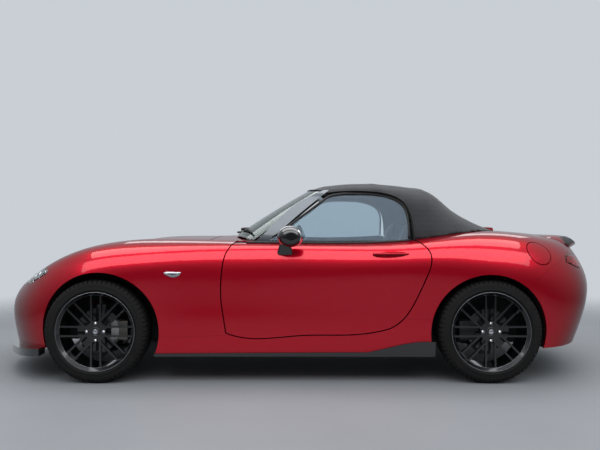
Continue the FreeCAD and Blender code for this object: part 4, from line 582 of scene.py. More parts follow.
class Workshop:
    """Mesh building that the sub-assemblies share."""

    @staticmethod
    def linked(name: str, mesh: bpy.types.Mesh, finish: Finish | None = None) -> Thing:
        """Puts a mesh in the scene at the origin, with its finish where one is given."""
        thing = bpy.data.objects.new(name, mesh)
        bpy.context.scene.collection.objects.link(thing)
        if finish:
            mesh.materials.append(finish.material())
        return thing

    @staticmethod
    def kept(work: bmesh.types.BMesh, mesh: bpy.types.Mesh, smooth: bool = True) -> bpy.types.Mesh:
        """Writes a working mesh to a mesh, sets its shading and frees it."""
        for face in work.faces:
            face.smooth = smooth
        work.to_mesh(mesh)
        work.free()
        return mesh

    @staticmethod
    def welded(mesh: bpy.types.Mesh) -> bmesh.types.BMesh:
        """A working mesh of a mesh, with the points that coincide merged."""
        work = bmesh.new()
        work.from_mesh(mesh)
        bmesh.ops.remove_doubles(work, verts=work.verts, dist=MERGE)
        return work

    @classmethod
    def piece(cls, name: str, points: Iterable[Sequence[float]], faces: Faces, finish: Finish,
              smooth: bool = True) -> Thing:
        """Makes a mesh object at the origin, with its normals outwards.

        Args:
            name: the piece's name.
            points: its vertices in the frame.
            faces: vertex numbers of each face.
            finish: its surface.
            smooth: whether its faces shade smoothly.

        Returns:
            The object.
        """
        mesh = bpy.data.meshes.new(name)
        mesh.from_pydata([tuple(p) for p in points], [], faces)
        work = bmesh.new()
        work.from_mesh(mesh)
        bmesh.ops.remove_doubles(work, verts=work.verts, dist=1e-6)
        bmesh.ops.dissolve_degenerate(work, edges=work.edges, dist=1e-7)
        bmesh.ops.recalc_face_normals(work, faces=work.faces)
        return cls.linked(name, cls.kept(work, mesh, smooth), finish)

    @classmethod
    def turned(cls, name: str, profile: Sequence[Pair], segments: int, finish: Finish,
               place: Callable[[float, float, float], Sequence[float]], smooth: bool = True) -> Thing:
        """Turns a profile about the Y axis and puts it in place.

        Args:
            name: the piece's name.
            profile: points as (radius, y), open at the axis or a closed loop off it.
            segments: the number of steps round.
            finish: its surface.
            place: where a point built about the origin goes.
            smooth: whether its faces shade smoothly.

        Returns:
            The piece.
        """
        points = []
        for i in range(segments):
            turn = 2 * math.pi * i / segments
            points += [place(r * math.cos(turn), y, r * math.sin(turn)) for r, y in profile]
        loop = min(profile[0][0], profile[-1][0]) > 0
        return cls.piece(name, points, strips(segments, len(profile), True, loop), finish, smooth)

    @classmethod
    def swept(cls, name: str, path: Sequence[Vector], section: Sequence[Pair], finish: Finish,
              closed: bool = False, up: Vector = UP, scales: Sequence[float] | None = None) -> Thing:
        """Carries a flat section along a path.

        Args:
            name: the piece's name.
            path: the points of the middle line.
            section: the section's points, across and along the path's normal.
            finish: its surface.
            closed: whether the path is a ring.
            up: the direction that the section's second axis leans towards.
            scales: the section's size at each point, 1 where none are given.

        Returns:
            The piece.
        """
        count, size = len(path), len(section)
        points: list[Vector] = []
        for i, place in enumerate(path):
            ends = (i - 1, (i + 1) % count) if closed else (max(i - 1, 0), min(i + 1, count - 1))
            ahead = (path[ends[1]] - path[ends[0]]).normalized()
            across = ahead.cross(up).normalized()
            normal = across.cross(ahead).normalized()
            scale = scales[i] if scales else 1.0
            points += [place + (across * u + normal * v) * scale for u, v in section]
        faces = strips(count, size, closed)
        if not closed:
            faces += [list(range(size)), [(count - 1) * size + k for k in range(size)]]
        return cls.piece(name, points, faces, finish)

    @classmethod
    def moulded(cls, name: str, outline: Sequence[Pair], place: Callable[[float, float], Hit],
                steps: Sequence[Pair], finish: Finish) -> Thing:
        """A plate that follows a surface, with its height set ring by ring from its edge to its middle.

        Args:
            name: the piece's name.
            outline: the plate's corners in the surface's own two coordinates.
            place: the surface's point and normal at two coordinates.
            steps: (share of the outline's reach, height) from the edge inwards; the last is the middle.
            finish: its surface.

        Returns:
            The piece.
        """
        size = len(outline)
        mid_a, mid_b = (sum(values) / size for values in zip(*outline))
        points: list[Vector] = []
        for share, height in steps:
            for a, b in outline:
                found = place(mid_a + (a - mid_a) * share, mid_b + (b - mid_b) * share) or place(mid_a, mid_b)
                points.append(found[0] + found[1] * height)
        faces = strips(len(steps), size) + [[(len(steps) - 1) * size + k for k in range(size)]]
        return cls.piece(name, points, faces, finish)

    @staticmethod
    def settle(thing: Thing) -> Thing:
        """Turns an object's modifiers into plain mesh."""
        bpy.context.view_layer.update()
        made = bpy.data.meshes.new_from_object(thing.evaluated_get(bpy.context.evaluated_depsgraph_get()))
        old = thing.data
        thing.modifiers.clear()
        thing.data = made
        if old.users == 0:
            bpy.data.meshes.remove(old)
        return thing

    @classmethod
    def walled(cls, thing: Thing, thickness: float) -> Thing:
        """Thickens a sheet inwards."""
        wall = thing.modifiers.new("wall", "SOLIDIFY")
        wall.thickness = thickness
        wall.offset = -1.0
        return cls.settle(thing)

    @classmethod
    def join(cls, name: str, things: Sequence[Thing]) -> Thing:
        """Joins pieces into one new piece, each with its own finish."""
        work = bmesh.new()
        finishes: list[bpy.types.Material] = []
        for thing in things:
            start = len(work.faces)
            work.from_mesh(thing.data)
            work.faces.ensure_lookup_table()
            finishes += [held for held in thing.data.materials if held not in finishes]
            slots = [finishes.index(held) for held in thing.data.materials]
            for face in work.faces[start:]:
                face.material_index = slots[min(face.material_index, len(slots) - 1)]
        mesh = bpy.data.meshes.new(name)
        work.to_mesh(mesh)
        work.free()
        for held in finishes:
            mesh.materials.append(held)
        for thing in things:
            bpy.data.objects.remove(thing)
        return cls.linked(name, mesh)

    @classmethod
    def mirrored(cls, name: str, thing: Thing) -> Thing:
        """A copy of a piece on the other side of the car."""
        twin = cls.linked(name, thing.data.copy())
        for vert in twin.data.vertices:
            vert.co.y = -vert.co.y
        twin.data.flip_normals()
        return twin

    @staticmethod
    def wear(thing: Thing, body: str, slot: str, node: str = "") -> None:
        """Attaches a piece to what it rides on, and hides the CAD node it stands for, if any."""
        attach(thing, body)
        if node:
            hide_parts(node)


class NodeTool:
    """A geometry tree that sets copies in place, makes them real and gives them one finish."""

    label = ""
    sockets: dict[str, str] = {}

    def __init__(self) -> None:
        """Builds the tree once."""
        self.tree = bpy.data.node_groups.new(self.label, "GeometryNodeTree")
        face = self.tree.interface
        face.new_socket("Geometry", in_out="INPUT", socket_type="NodeSocketGeometry")
        for name, kind in {**self.sockets, "Finish": "Material"}.items():
            face.new_socket(name, in_out="INPUT", socket_type="NodeSocket" + kind)
        face.new_socket("Geometry", in_out="OUTPUT", socket_type="NodeSocketGeometry")
        source = add_node(self.tree, "NodeGroupInput").outputs
        copies = add_node(self.tree, "GeometryNodeInstanceOnPoints", inputs=self.copies(self.tree, source))
        real = add_node(self.tree, "GeometryNodeRealizeInstances", inputs={
            "Geometry": copies.outputs["Instances"]})
        dressed = add_node(self.tree, "GeometryNodeSetMaterial", inputs={
            "Geometry": real.outputs["Geometry"], "Material": source["Finish"]})
        add_node(self.tree, "NodeGroupOutput", inputs={"Geometry": dressed.outputs["Geometry"]})

    def copies(self, tree: Tree, source: bpy.types.bpy_prop_collection) -> dict[str, Socket]:
        """What feeds the node that places the copies: points, instance, rotation and scale.

        Args:
            tree: the tree.
            source: the tree's inputs.

        Returns:
            Sockets by the name of the input that they feed.
        """
        raise NotImplementedError

    def run(self, thing: Thing, finish: Finish, values: dict[str, object]) -> Thing:
        """Runs the tree on a piece and keeps the result as plain mesh.

        Args:
            thing: the piece.
            finish: the copies' surface.
            values: the tree's other inputs, by name.

        Returns:
            The same object.
        """
        values = {**values, "Finish": finish.material()}
        held = thing.modifiers.new(self.label, "NODES")
        held.node_group = self.tree
        for item in self.tree.interface.items_tree:
            if item.item_type == "SOCKET" and item.in_out == "INPUT" and item.name in values:
                held[item.identifier] = values[item.name]
        return Workshop.settle(thing)


class RingArray(NodeTool):
    """Repeats a piece that is built about the origin, round an axle along Y."""

    label = "ring_array"
    sockets = {"Count": "Int", "Centre": "Vector"}

    def copies(self, tree: Tree, source: bpy.types.bpy_prop_collection) -> dict[str, Socket]:
        """One point at the axle's middle for each copy, turned by its share of the round."""
        spots = add_node(tree, "GeometryNodeMeshLine", inputs={
            "Count": source["Count"], "Start Location": source["Centre"], "Offset": (0.0, 0.0, 0.0)})
        number = add_node(tree, "GeometryNodeInputIndex").outputs["Index"]
        turn = maths(tree, "MULTIPLY", number, maths(tree, "DIVIDE", 2 * math.pi, source["Count"]))
        spin = add_node(tree, "ShaderNodeCombineXYZ", inputs={"Y": turn})
        return {"Points": spots.outputs["Mesh"], "Instance": source["Geometry"],
                "Rotation": spin.outputs["Vector"]}


class StitchLine(NodeTool):
    """Lays stitches along a line of edges."""

    label = "stitch_line"
    sockets = {"Pitch": "Float", "Length": "Float", "Thickness": "Float"}
    bead = {"Segments": 6, "Rings": 4, "Radius": 0.5}

    def copies(self, tree: Tree, source: bpy.types.bpy_prop_collection) -> dict[str, Socket]:
        """A bead at each pitch along the line, drawn out to a stitch."""
        line = add_node(tree, "GeometryNodeMeshToCurve", inputs={"Mesh": source["Geometry"]})
        spots = add_node(tree, "GeometryNodeCurveToPoints", {"mode": "LENGTH"}, {
            "Curve": line.outputs["Curve"], "Length": source["Pitch"]}).outputs
        bead = add_node(tree, "GeometryNodeMeshUVSphere", inputs=self.bead)
        along = add_node(tree, "FunctionNodeAlignEulerToVector", {"axis": "Z"}, {"Vector": spots["Tangent"]})
        size = add_node(tree, "ShaderNodeCombineXYZ", inputs={
            "X": source["Thickness"], "Y": source["Thickness"], "Z": source["Length"]})
        return {"Points": spots["Points"], "Instance": bead.outputs["Mesh"],
                "Rotation": along.outputs["Rotation"], "Scale": size.outputs["Vector"]}

    def sew(self, name: str, lines: Sequence[Sequence[Vector]], sizes: Point, finish: Finish) -> Thing:
        """Sews along lines of points, leaving out those too short for a seam.

        Args:
            name: the piece's name.
            lines: each seam's points.
            sizes: the pitch, and a stitch's length and thickness.
            finish: the thread's surface.

        Returns:
            The stitches as one piece.
        """
        points: list[Vector] = []
        edges: list[tuple[int, int]] = []
        for line in lines:
            if len(line) >= SEAM_MIN_POINTS:
                edges += [(i, i + 1) for i in range(len(points), len(points) + len(line) - 1)]
                points += line
        mesh = bpy.data.meshes.new(name)
        mesh.from_pydata([tuple(p) for p in points], edges, [])
        return self.run(Workshop.linked(name, mesh), finish, dict(zip(self.sockets, sizes)))


@dataclass
class Studio(Workshop):
    """The pale floor, the soft lamps and the camera at the photograph's place."""

    camera_place: Point = (-0.007, -4.6, 0.926)
    lens_mm: float = 38.71
    sensor_mm: float = 36.0
    floor_half: float = 60.0
    seen_strength: float = 1.0
    sky: str = "C9CFD5"
    bright_way: Point = (0.0, 0.25, 0.97)
    dim_below: float = -0.25
    bright_above: float = 0.55
    low_strength: float = 0.14
    high_strength: float = 1.0
    # Soft boxes: name, middle, the point faced, width and height, watts
    lamps: tuple[tuple[str, Point, Point, Pair, float], ...] = (
        ("overhead_box", (0.0, -0.2, 3.4), (0.0, 0.0, 0.0), (6.0, 1.8), 110),
        ("side_bank", (0.0, -3.3, 3.7), (0.0, -0.6, 0.9), (10.0, 3.0), 230),
        ("far_box", (0.4, 3.4, 3.0), (0.0, 0.6, 0.6), (6.0, 1.0), 40))

    def camera(self) -> None:
        """Sets the camera, level and looking across the car."""
        data = bpy.data.cameras.new("photo_camera")
        data.lens = self.lens_mm
        data.sensor_width = self.sensor_mm
        thing = self.linked("photo_camera", data)
        thing.location = self.camera_place
        thing.rotation_euler = (math.pi / 2, 0.0, 0.0)
        bpy.context.scene.camera = thing

    def lamp(self, name: str, place: Point, aim: Point, size: Pair, power: float) -> None:
        """Hangs one soft box.

        Args:
            name: the lamp's name.
            place: its middle.
            aim: the point that it faces.
            size: its width and height.
            power: in watts.
        """
        data = bpy.data.lights.new(name, "AREA")
        data.shape = "RECTANGLE"
        data.size, data.size_y = size
        data.energy = power
        thing = self.linked(name, data)
        thing.location = place
        thing.rotation_euler = (Vector(aim) - Vector(place)).to_track_quat("-Z", "Y").to_euler()

    def world(self) -> None:
        """A pale room, brighter overhead and behind the car; its colour is even to the eye."""
        room = bpy.data.worlds.new("pale_room")
        room.use_nodes = True
        tree = room.node_tree
        tree.nodes.clear()
        path = add_node(tree, "ShaderNodeLightPath").outputs
        seen = maths(tree, "MAXIMUM", path["Is Camera Ray"], path["Is Transmission Ray"])
        way = add_node(tree, "ShaderNodeVectorMath", {"operation": "DOT_PRODUCT"}, {
            0: add_node(tree, "ShaderNodeTexCoord").outputs["Generated"], 1: self.bright_way})
        rise = ranged(tree, way.outputs["Value"], {
            "From Min": self.dim_below, "From Max": self.bright_above,
            "To Min": self.low_strength, "To Max": self.high_strength})
        strength = add_node(tree, "ShaderNodeMix", {"data_type": "FLOAT"}, {
            0: seen, 2: rise, 3: self.seen_strength})
        shade = add_node(tree, "ShaderNodeBackground", inputs={
            "Color": linear(self.sky), "Strength": strength.outputs[0]})
        add_node(tree, "ShaderNodeOutputWorld", inputs={"Surface": shade.outputs["Background"]})
        bpy.context.scene.world = room

    def build(self) -> None:
        """Sets up the whole studio."""
        bpy.context.scene.view_settings.view_transform = "Standard"
        self.camera()
        half = self.floor_half
        corners = [(-half, -half, 0.0), (half, -half, 0.0), (half, half, 0.0), (-half, half, 0.0)]
        self.piece("studio_floor", corners, [[0, 1, 2, 3]], FLOOR_PAINT, False)
        self.world()
        for lamp in self.lamps:
            self.lamp(*lamp)


@dataclass
class Tyre(Workshop):
    """A 205/45 R17 tyre: carcass, five ribs of tread blocks and a serrated rim guard."""

    pitches: int = 66
    segments: int = 132
    guard_ribs: int = 150
    base_depth: float = 0.009
    foot_depth: float = 0.0095
    gap_share: float = 0.16
    rib_half: float = 0.0008
    rib_rises: Pair = (-0.002, 0.0007)
    # Bead, rim guard and wall: radius, share of the half width
    wall: Pairs = (
        (0.2186, 0.79), (0.2262, 0.835), (0.2332, 0.885), (0.2342, 0.905), (0.2352, 0.93), (0.2375, 0.955),
        (0.2430, 0.968), (0.2440, 0.992), (0.2480, 1.0), (0.2490, 0.982), (0.2560, 0.990), (0.2640, 0.985),
        (0.2655, 0.975), (0.2670, 0.985), (0.2760, 0.955), (0.2825, 0.91))
    # Shoulder and the grooves' floor: depth under the tread, share of the half width
    shoulder: Pairs = ((0.0195, 0.85), (0.011, 0.72), (0.007, 0.60), (0.007, 0.30))
    # Inside: the toes and walls by radius, the crown by depth, with shares of the half width
    toes: Pairs = ((0.224, 0.76), (0.262, 0.90))
    crown: Pairs = ((0.018, -0.60), (0.017, 0.0), (0.018, 0.60))
    # Tops of the blocks: the centre rib's half width, the mid rib's inner edge and its outer share and
    # fall, and the shoulder rib's shares and falls
    centre_half: float = 0.011
    mid_from: float = 0.018
    mid_to: Pair = (0.49, 0.0004)
    edge: Pairs = ((0.56, 0.0008), (0.70, 0.0022), (0.80, 0.0052), (0.875, 0.0108),
                              (0.915, 0.0170), (0.945, 0.0235))
    # Guard rib: radius, share of the half width
    guard: Pairs = ((0.2378, 0.957), (0.2425, 0.978), (0.2478, 0.9935))

    def carcass(self, radius: float, half: float) -> list[Pair]:
        """The carcass section as (radius, y), one closed loop, from the tread's radius and half width."""
        wall = [(r, half * share) for r, share in self.wall]
        wall += [(radius - depth, half * share) for depth, share in self.shoulder]
        toes = [(r, half * share) for r, share in self.toes]
        crown = [(radius - depth, half * share) for depth, share in self.crown]
        far = [(r, -y) for r, y in wall[::-1] + toes]
        return wall + far + crown + toes[::-1]

    def pitch(self, radius: float, half: float) -> Thing:
        """One pitch of the tread: a centre block, a mid pair and two shoulders."""
        step = 2 * math.pi / self.pitches
        gap = step * self.gap_share
        base = radius - self.base_depth
        centre = [(-self.centre_half, radius), (self.centre_half, radius)]
        mid = [(self.mid_from, radius), (half * self.mid_to[0], radius - self.mid_to[1])]
        edge = [(half * share, radius - fall) for share, fall in self.edge]
        far_mid, far_edge = ([(-y, r) for y, r in reversed(rows)] for rows in (mid, edge))
        points: list[Sequence[float]] = []
        faces: Faces = []
        # Rows of a block's top, its start and its skew in pitches
        for rows, start, skew in ((centre, 0.0, 0.0), (mid, 0.30, 0.35), (far_mid, 0.30, 0.35),
                                  (edge, 0.55, 0.12), (far_edge, 0.05, 0.12)):
            first = start * step + gap / 2
            width = rows[-1][0] - rows[0][0]
            corners = []
            for y, top in rows:
                lead = first + skew * step * (y - rows[0][0]) / width
                corners.append([(r * math.cos(turn), y, r * math.sin(turn))
                                for turn in (lead, lead + step - gap)
                                for r in (min(base, top - self.foot_depth), top)])
            made, sides = bar(corners)
            faces += [[len(points) + i for i in side] for side in sides]
            points += made
        return self.piece("tread_pitch", points, faces, TYRE_RUBBER, False)

    def serration(self, half: float, side: int) -> Thing:
        """One short radial rib of the sidewall's guard band."""
        points, faces = bar([[(r, side * (half * share + rise), u) for u in (-self.rib_half, self.rib_half)
                              for rise in self.rib_rises] for r, share in self.guard])
        return self.piece("guard_rib", points, faces, TYRE_RUBBER, False)

    def build(self, node: str, body: str, ring: RingArray) -> None:
        """Makes one tyre in place of its CAD ring.

        Args:
            node: the CAD tyre.
            body: the body that it turns with.
            ring: the array for what repeats.
        """
        low, high, middle = span(node)
        radius, half = (high.z - low.z) / 2, (high.y - low.y) / 2
        shell = self.turned(node + "_carcass", self.carcass(radius, half), self.segments, TYRE_RUBBER,
                            lambda x, y, z: Vector((x, y, z)) + middle)
        tread = ring.run(self.pitch(radius, half), TYRE_RUBBER, {"Count": self.pitches, "Centre": middle})
        ribs = [ring.run(self.serration(half, side), TYRE_RUBBER, {
            "Count": self.guard_ribs, "Centre": middle}) for side in (-1, 1)]
        tyre = self.join(node + "_rubber", [shell, tread, *ribs])
        self.wear(tyre, body, "tyre_rubber", node)
        LOG.info("%s: %d faces", tyre.name, len(tyre.data.polygons))


@dataclass
class WheelDress(Workshop):
    """What is on a wheel: four nuts, the centre cap, two grey rings that are painted highlights on the rim's
    edges, balance weights and the valve.
    """

    circle: float = 0.050
    hub_probe: float = 0.018
    nut_sink: float = 0.007175
    # Radius and reach along the axle
    nut: Pairs = ((0.0, 0.0), (0.0110, 0.0), (0.0110, 0.01612), (0.00968, 0.0182),
                             (0.0088, 0.02288), (0.0055, 0.02548), (0.0, 0.026))
    dome: Pairs = ((0.0, 0.0085), (0.010, 0.0080), (0.018, 0.0066), (0.0225, 0.0048),
                              (0.0232, 0.0062), (0.0258, 0.0056), (0.0265, 0.0030), (0.0265, -0.006),
                              (0.0, -0.006))
    disc: Pairs = ((0.0, 0.0098), (0.0125, 0.0094), (0.0138, 0.0084), (0.0138, 0.004), (0.0, 0.004))
    # Painted highlight rings at the rim lip and the shoulder behind the spokes: radius, depth from the lip,
    # half width
    rings: tuple[Point, ...] = ((0.2306, 0.0004, 0.0026), (0.2135, 0.0175, 0.0016))
    bead_rise: float = 0.0007
    bead_sink: float = 0.0022
    weight_count: int = 5
    weight_from: float = 216.0
    weight_step: float = 4.2
    weight_radii: Pair = (0.2055, 0.2125)
    weight_half: Pair = (0.0062, 0.009)
    weight_depth: float = 0.060
    valve_angle: float = 36.0
    # The valve's points: radius, outward shift from the lip
    valve: Pairs = ((0.209, -0.020), (0.195, -0.012), (0.179, -0.006))
    valve_size: Pair = (0.0085, 0.0085)

    def edges(self, node: str, lip: Vector, out: int) -> Thing:
        """The two grey rings of the rim, painted highlights at its lip and at the shoulder behind the spokes.

        Args:
            node: the CAD wheel.
            lip: the middle of the rim's outer face.
            out: the outward sign of Y.

        Returns:
            Both rings as one piece.
        """
        made = []
        for i, (radius, depth, wide) in enumerate(self.rings):
            bead = [(radius - wide, 0.0), (radius, self.bead_rise), (radius + wide, 0.0),
                    (radius, -self.bead_sink)]
            made.append(self.turned(f"{node}_ring_{i}", bead, 96, ALLOY_AND_PAINTED_RIM_HIGHLIGHT, lambda x, y, z: (
                x + lip.x, lip.y + out * (y - depth), z + lip.z)))
        return self.join(node + "_turned_rings", made)

    def weights(self, node: str, lip: Vector, out: int) -> Thing:
        """Stick-on balance weights inside the barrel, and the valve.

        Args:
            node: the CAD wheel.
            lip: the middle of the rim's outer face.
            out: the outward sign of Y.

        Returns:
            Weights and valve as one piece.
        """
        made = []
        half_a, half_b = self.weight_half
        for i in range(self.weight_count):
            turn = math.radians(self.weight_from + self.weight_step * i)
            way = Vector((math.cos(turn), 0.0, math.sin(turn)))
            along = Vector((-way.z, 0.0, way.x))
            foot = lip - Vector((0.0, out * self.weight_depth, 0.0))
            points, faces = bar([[foot + way * reach + along * a + Vector((0.0, b, 0.0))
                                  for a in (-half_a, half_a) for b in (-half_b, half_b)]
                                 for reach in self.weight_radii])
            made.append(self.piece(f"{node}_weight_{i}", points, faces, ALLOY_AND_PAINTED_RIM_HIGHLIGHT, False))
        turn = math.radians(self.valve_angle)
        stem = [lip + Vector((r * math.cos(turn), out * shift, r * math.sin(turn)))
                for r, shift in self.valve]
        made.append(self.swept(node + "_valve", stem, oval(*self.valve_size, 10), SEAL_RUBBER))
        return self.join(node + "_weights", made)

    def build(self, node: str, body: str, side: Side, ring: RingArray) -> None:
        """Dresses one wheel.

        Args:
            node: the CAD wheel.
            body: the body that it turns with.
            side: the side of the car.
            ring: the array for what repeats.
        """
        low, high, middle = span(node)
        out = side.value
        start = (middle.x + self.hub_probe, out * 1.2, middle.z + self.hub_probe)
        face_y = Skin(node).hit(start, (0.0, -out, 0.0))[0].y

        def place(x: float, y: float, z: float) -> Point:
            """A point of the hub's face."""
            return x + middle.x, out * y + face_y, z + middle.z

        nut = self.turned("wheel_nut", self.nut, 6, CHROME,
                          lambda x, y, z: (x, out * y, z + self.circle), False)
        seat = Vector((middle.x, face_y - out * self.nut_sink, middle.z))
        nuts = ring.run(nut, CHROME, {"Count": 4, "Centre": seat})
        nuts.name = node + "_nuts"
        lip = Vector((middle.x, low.y if out < 0 else high.y, middle.z))
        for thing, slot in ((nuts, "wheel_black"),
                            (self.turned(node + "_cap", self.dome, 40, BLACK_GLOSS, place), "black_gloss"),
                            (self.turned(node + "_cap_disc", self.disc, 32, CHROME, place), "wheel_black"),
                            (self.edges(node, lip, out), "wheel_black"),
                            (self.weights(node, lip, out), "wheel_black")):
            self.wear(thing, body, slot)


@dataclass
class Hood(Workshop):
    """The cloth hood: one stretched sheet over its bows, bound at its edges."""

    thickness: float = 0.003
    longest_edge: float = 0.022
    same_face: float = 0.72
    bow_places: Point = (0.150, 0.470, 0.780)
    bow_width: float = 0.035
    bow_rise: float = 0.0025
    sag: float = 0.0012
    roof_from: Pair = (1.00, 0.12)
    wrinkle: float = 0.0005
    crease_rates: Point = (7.0, 9.0, 5.0)
    tight_rates: Point = (16.0, 4.0, 3.0)
    tight_share: float = 0.6
    binding: Pair = (0.009, 0.0072)
    least_rim: int = 12
    flat: Pair = (1.95, 1.62)
    side_seams: tuple[float, ...] = (-0.505, 0.505, -0.497, 0.497)
    cross_seams: Pair = (0.800, 0.808)
    side_run: Pair = (0.10, 0.016)
    cross_run: Pair = (-0.49, 0.020)
    seam_points: int = 50
    pane_seams: Pair = (0.016, 0.024)
    stitch_sizes: Point = (0.006, 0.0042, 0.0011)

    def outer(self) -> bmesh.types.BMesh:
        """The CAD hood's outer face, cut loose and evenly divided, as a mesh to shape."""
        work = self.welded(bpy.data.objects["soft_top"].data)
        work.faces.ensure_lookup_table()
        keep_patch(work, max(work.faces, key=lambda f: f.calc_center_median().z if f.normal.z > 0.8 else -1),
                   self.same_face)
        for _ in range(5):
            long = [e for e in work.edges if e.calc_length() > self.longest_edge]
            if not long:
                break
            bmesh.ops.subdivide_edges(work, edges=long, cuts=1, use_grid_fill=False)
            bmesh.ops.triangulate(work, faces=work.faces)
        bmesh.ops.beautify_fill(work, faces=work.faces, edges=[e for e in work.edges if not e.is_boundary])
        work.normal_update()
        return work

    def drape(self, work: bmesh.types.BMesh) -> None:
        """Pulls the cloth tight over its bows and lets it sag and crease between them."""
        edge = {v for e in work.edges if e.is_boundary for v in e.verts}
        moves = []
        for vert in work.verts:
            x, y, z = vert.co
            roof = max(0.0, min(1.0, (z - self.roof_from[0]) / self.roof_from[1]))
            bow = sum(math.exp(-((x - spot) / self.bow_width) ** 2) for spot in self.bow_places)
            lift = roof * (self.bow_rise * bow - self.sag * max(0.0, 1.0 - bow))
            crease = noise.noise(Vector([a * b for a, b in zip(vert.co, self.crease_rates)]))
            tight = noise.noise(Vector([a * b for a, b in zip((x + z, y, z - x), self.tight_rates)]))
            lift += self.wrinkle * (crease + self.tight_share * tight)
            moves.append(vert.normal * (0.0 if vert in edge else lift))
        for vert, move in zip(work.verts, moves):
            vert.co += move

    def rims(self, work: bmesh.types.BMesh) -> list[list[Vector]]:
        """The closed boundary lines of the sheet, longest first."""
        links: dict = {}
        for edge in work.edges:
            if edge.is_boundary:
                for vert in edge.verts:
                    links.setdefault(vert, []).append(edge)
        loops = []
        seen = set()
        for start in links:
            if start in seen:
                continue
            loop = []
            ahead = [start]
            while ahead:
                loop.append(ahead[0])
                seen.add(ahead[0])
                ahead = [v for v in (e.other_vert(loop[-1]) for e in links[loop[-1]]) if v not in seen]
            loops.append([v.co.copy() for v in loop])
        return sorted(loops, key=len, reverse=True)

    def seams(self, hood: Thing, loops: Sequence[Sequence[Vector]], stitch: StitchLine) -> Thing:
        """Sews the side seams, the cross seam and the border of the rear pane.

        Args:
            hood: the cloth.
            loops: its rims, longest first.
            stitch: the sewing tree.

        Returns:
            The stitches.
        """
        cloth = Skin(hood.name)
        (x_from, x_step), (y_from, y_step) = self.side_run, self.cross_run
        count = range(self.seam_points)
        lines = [raised(cloth.top(x_from + x_step * i, y) for i in count) for y in self.side_seams]
        lines += [raised(cloth.top(x, y_from + y_step * i) for i in count) for x in self.cross_seams]
        pane = loops[1]
        middle = sum(pane, Vector()) / len(pane)
        for reach in self.pane_seams:
            line = raised(cloth.tree.find_nearest(spot + (spot - middle).normalized() * reach)
                          for spot in pane)
            lines.append(line + line[:1])
        return stitch.sew("hood_stitches", lines, self.stitch_sizes, HOOD_THREAD)

    def build(self, stitch: StitchLine) -> None:
        """Makes the hood in place of its CAD solid."""
        work = self.outer()
        self.drape(work)
        loops = self.rims(work)
        mesh = self.kept(work, bpy.data.meshes.new("hood_cloth_sheet"))
        hood = self.linked("hood_cloth_sheet", mesh, HOOD_CLOTH)
        self.walled(hood, self.thickness)
        binding = self.join("hood_binding", [
            self.swept(f"hood_binding_{i}", loop, oval(*self.binding, 8), SEAL_RUBBER, True)
            for i, loop in enumerate(loops) if len(loop) >= self.least_rim])
        sewn = self.seams(hood, loops, stitch)
        self.wear(sewn, "body", "hood_cloth")
        self.wear(hood, "body", "hood_cloth", "soft_top")
        self.wear(binding, "body", "black_plastic")


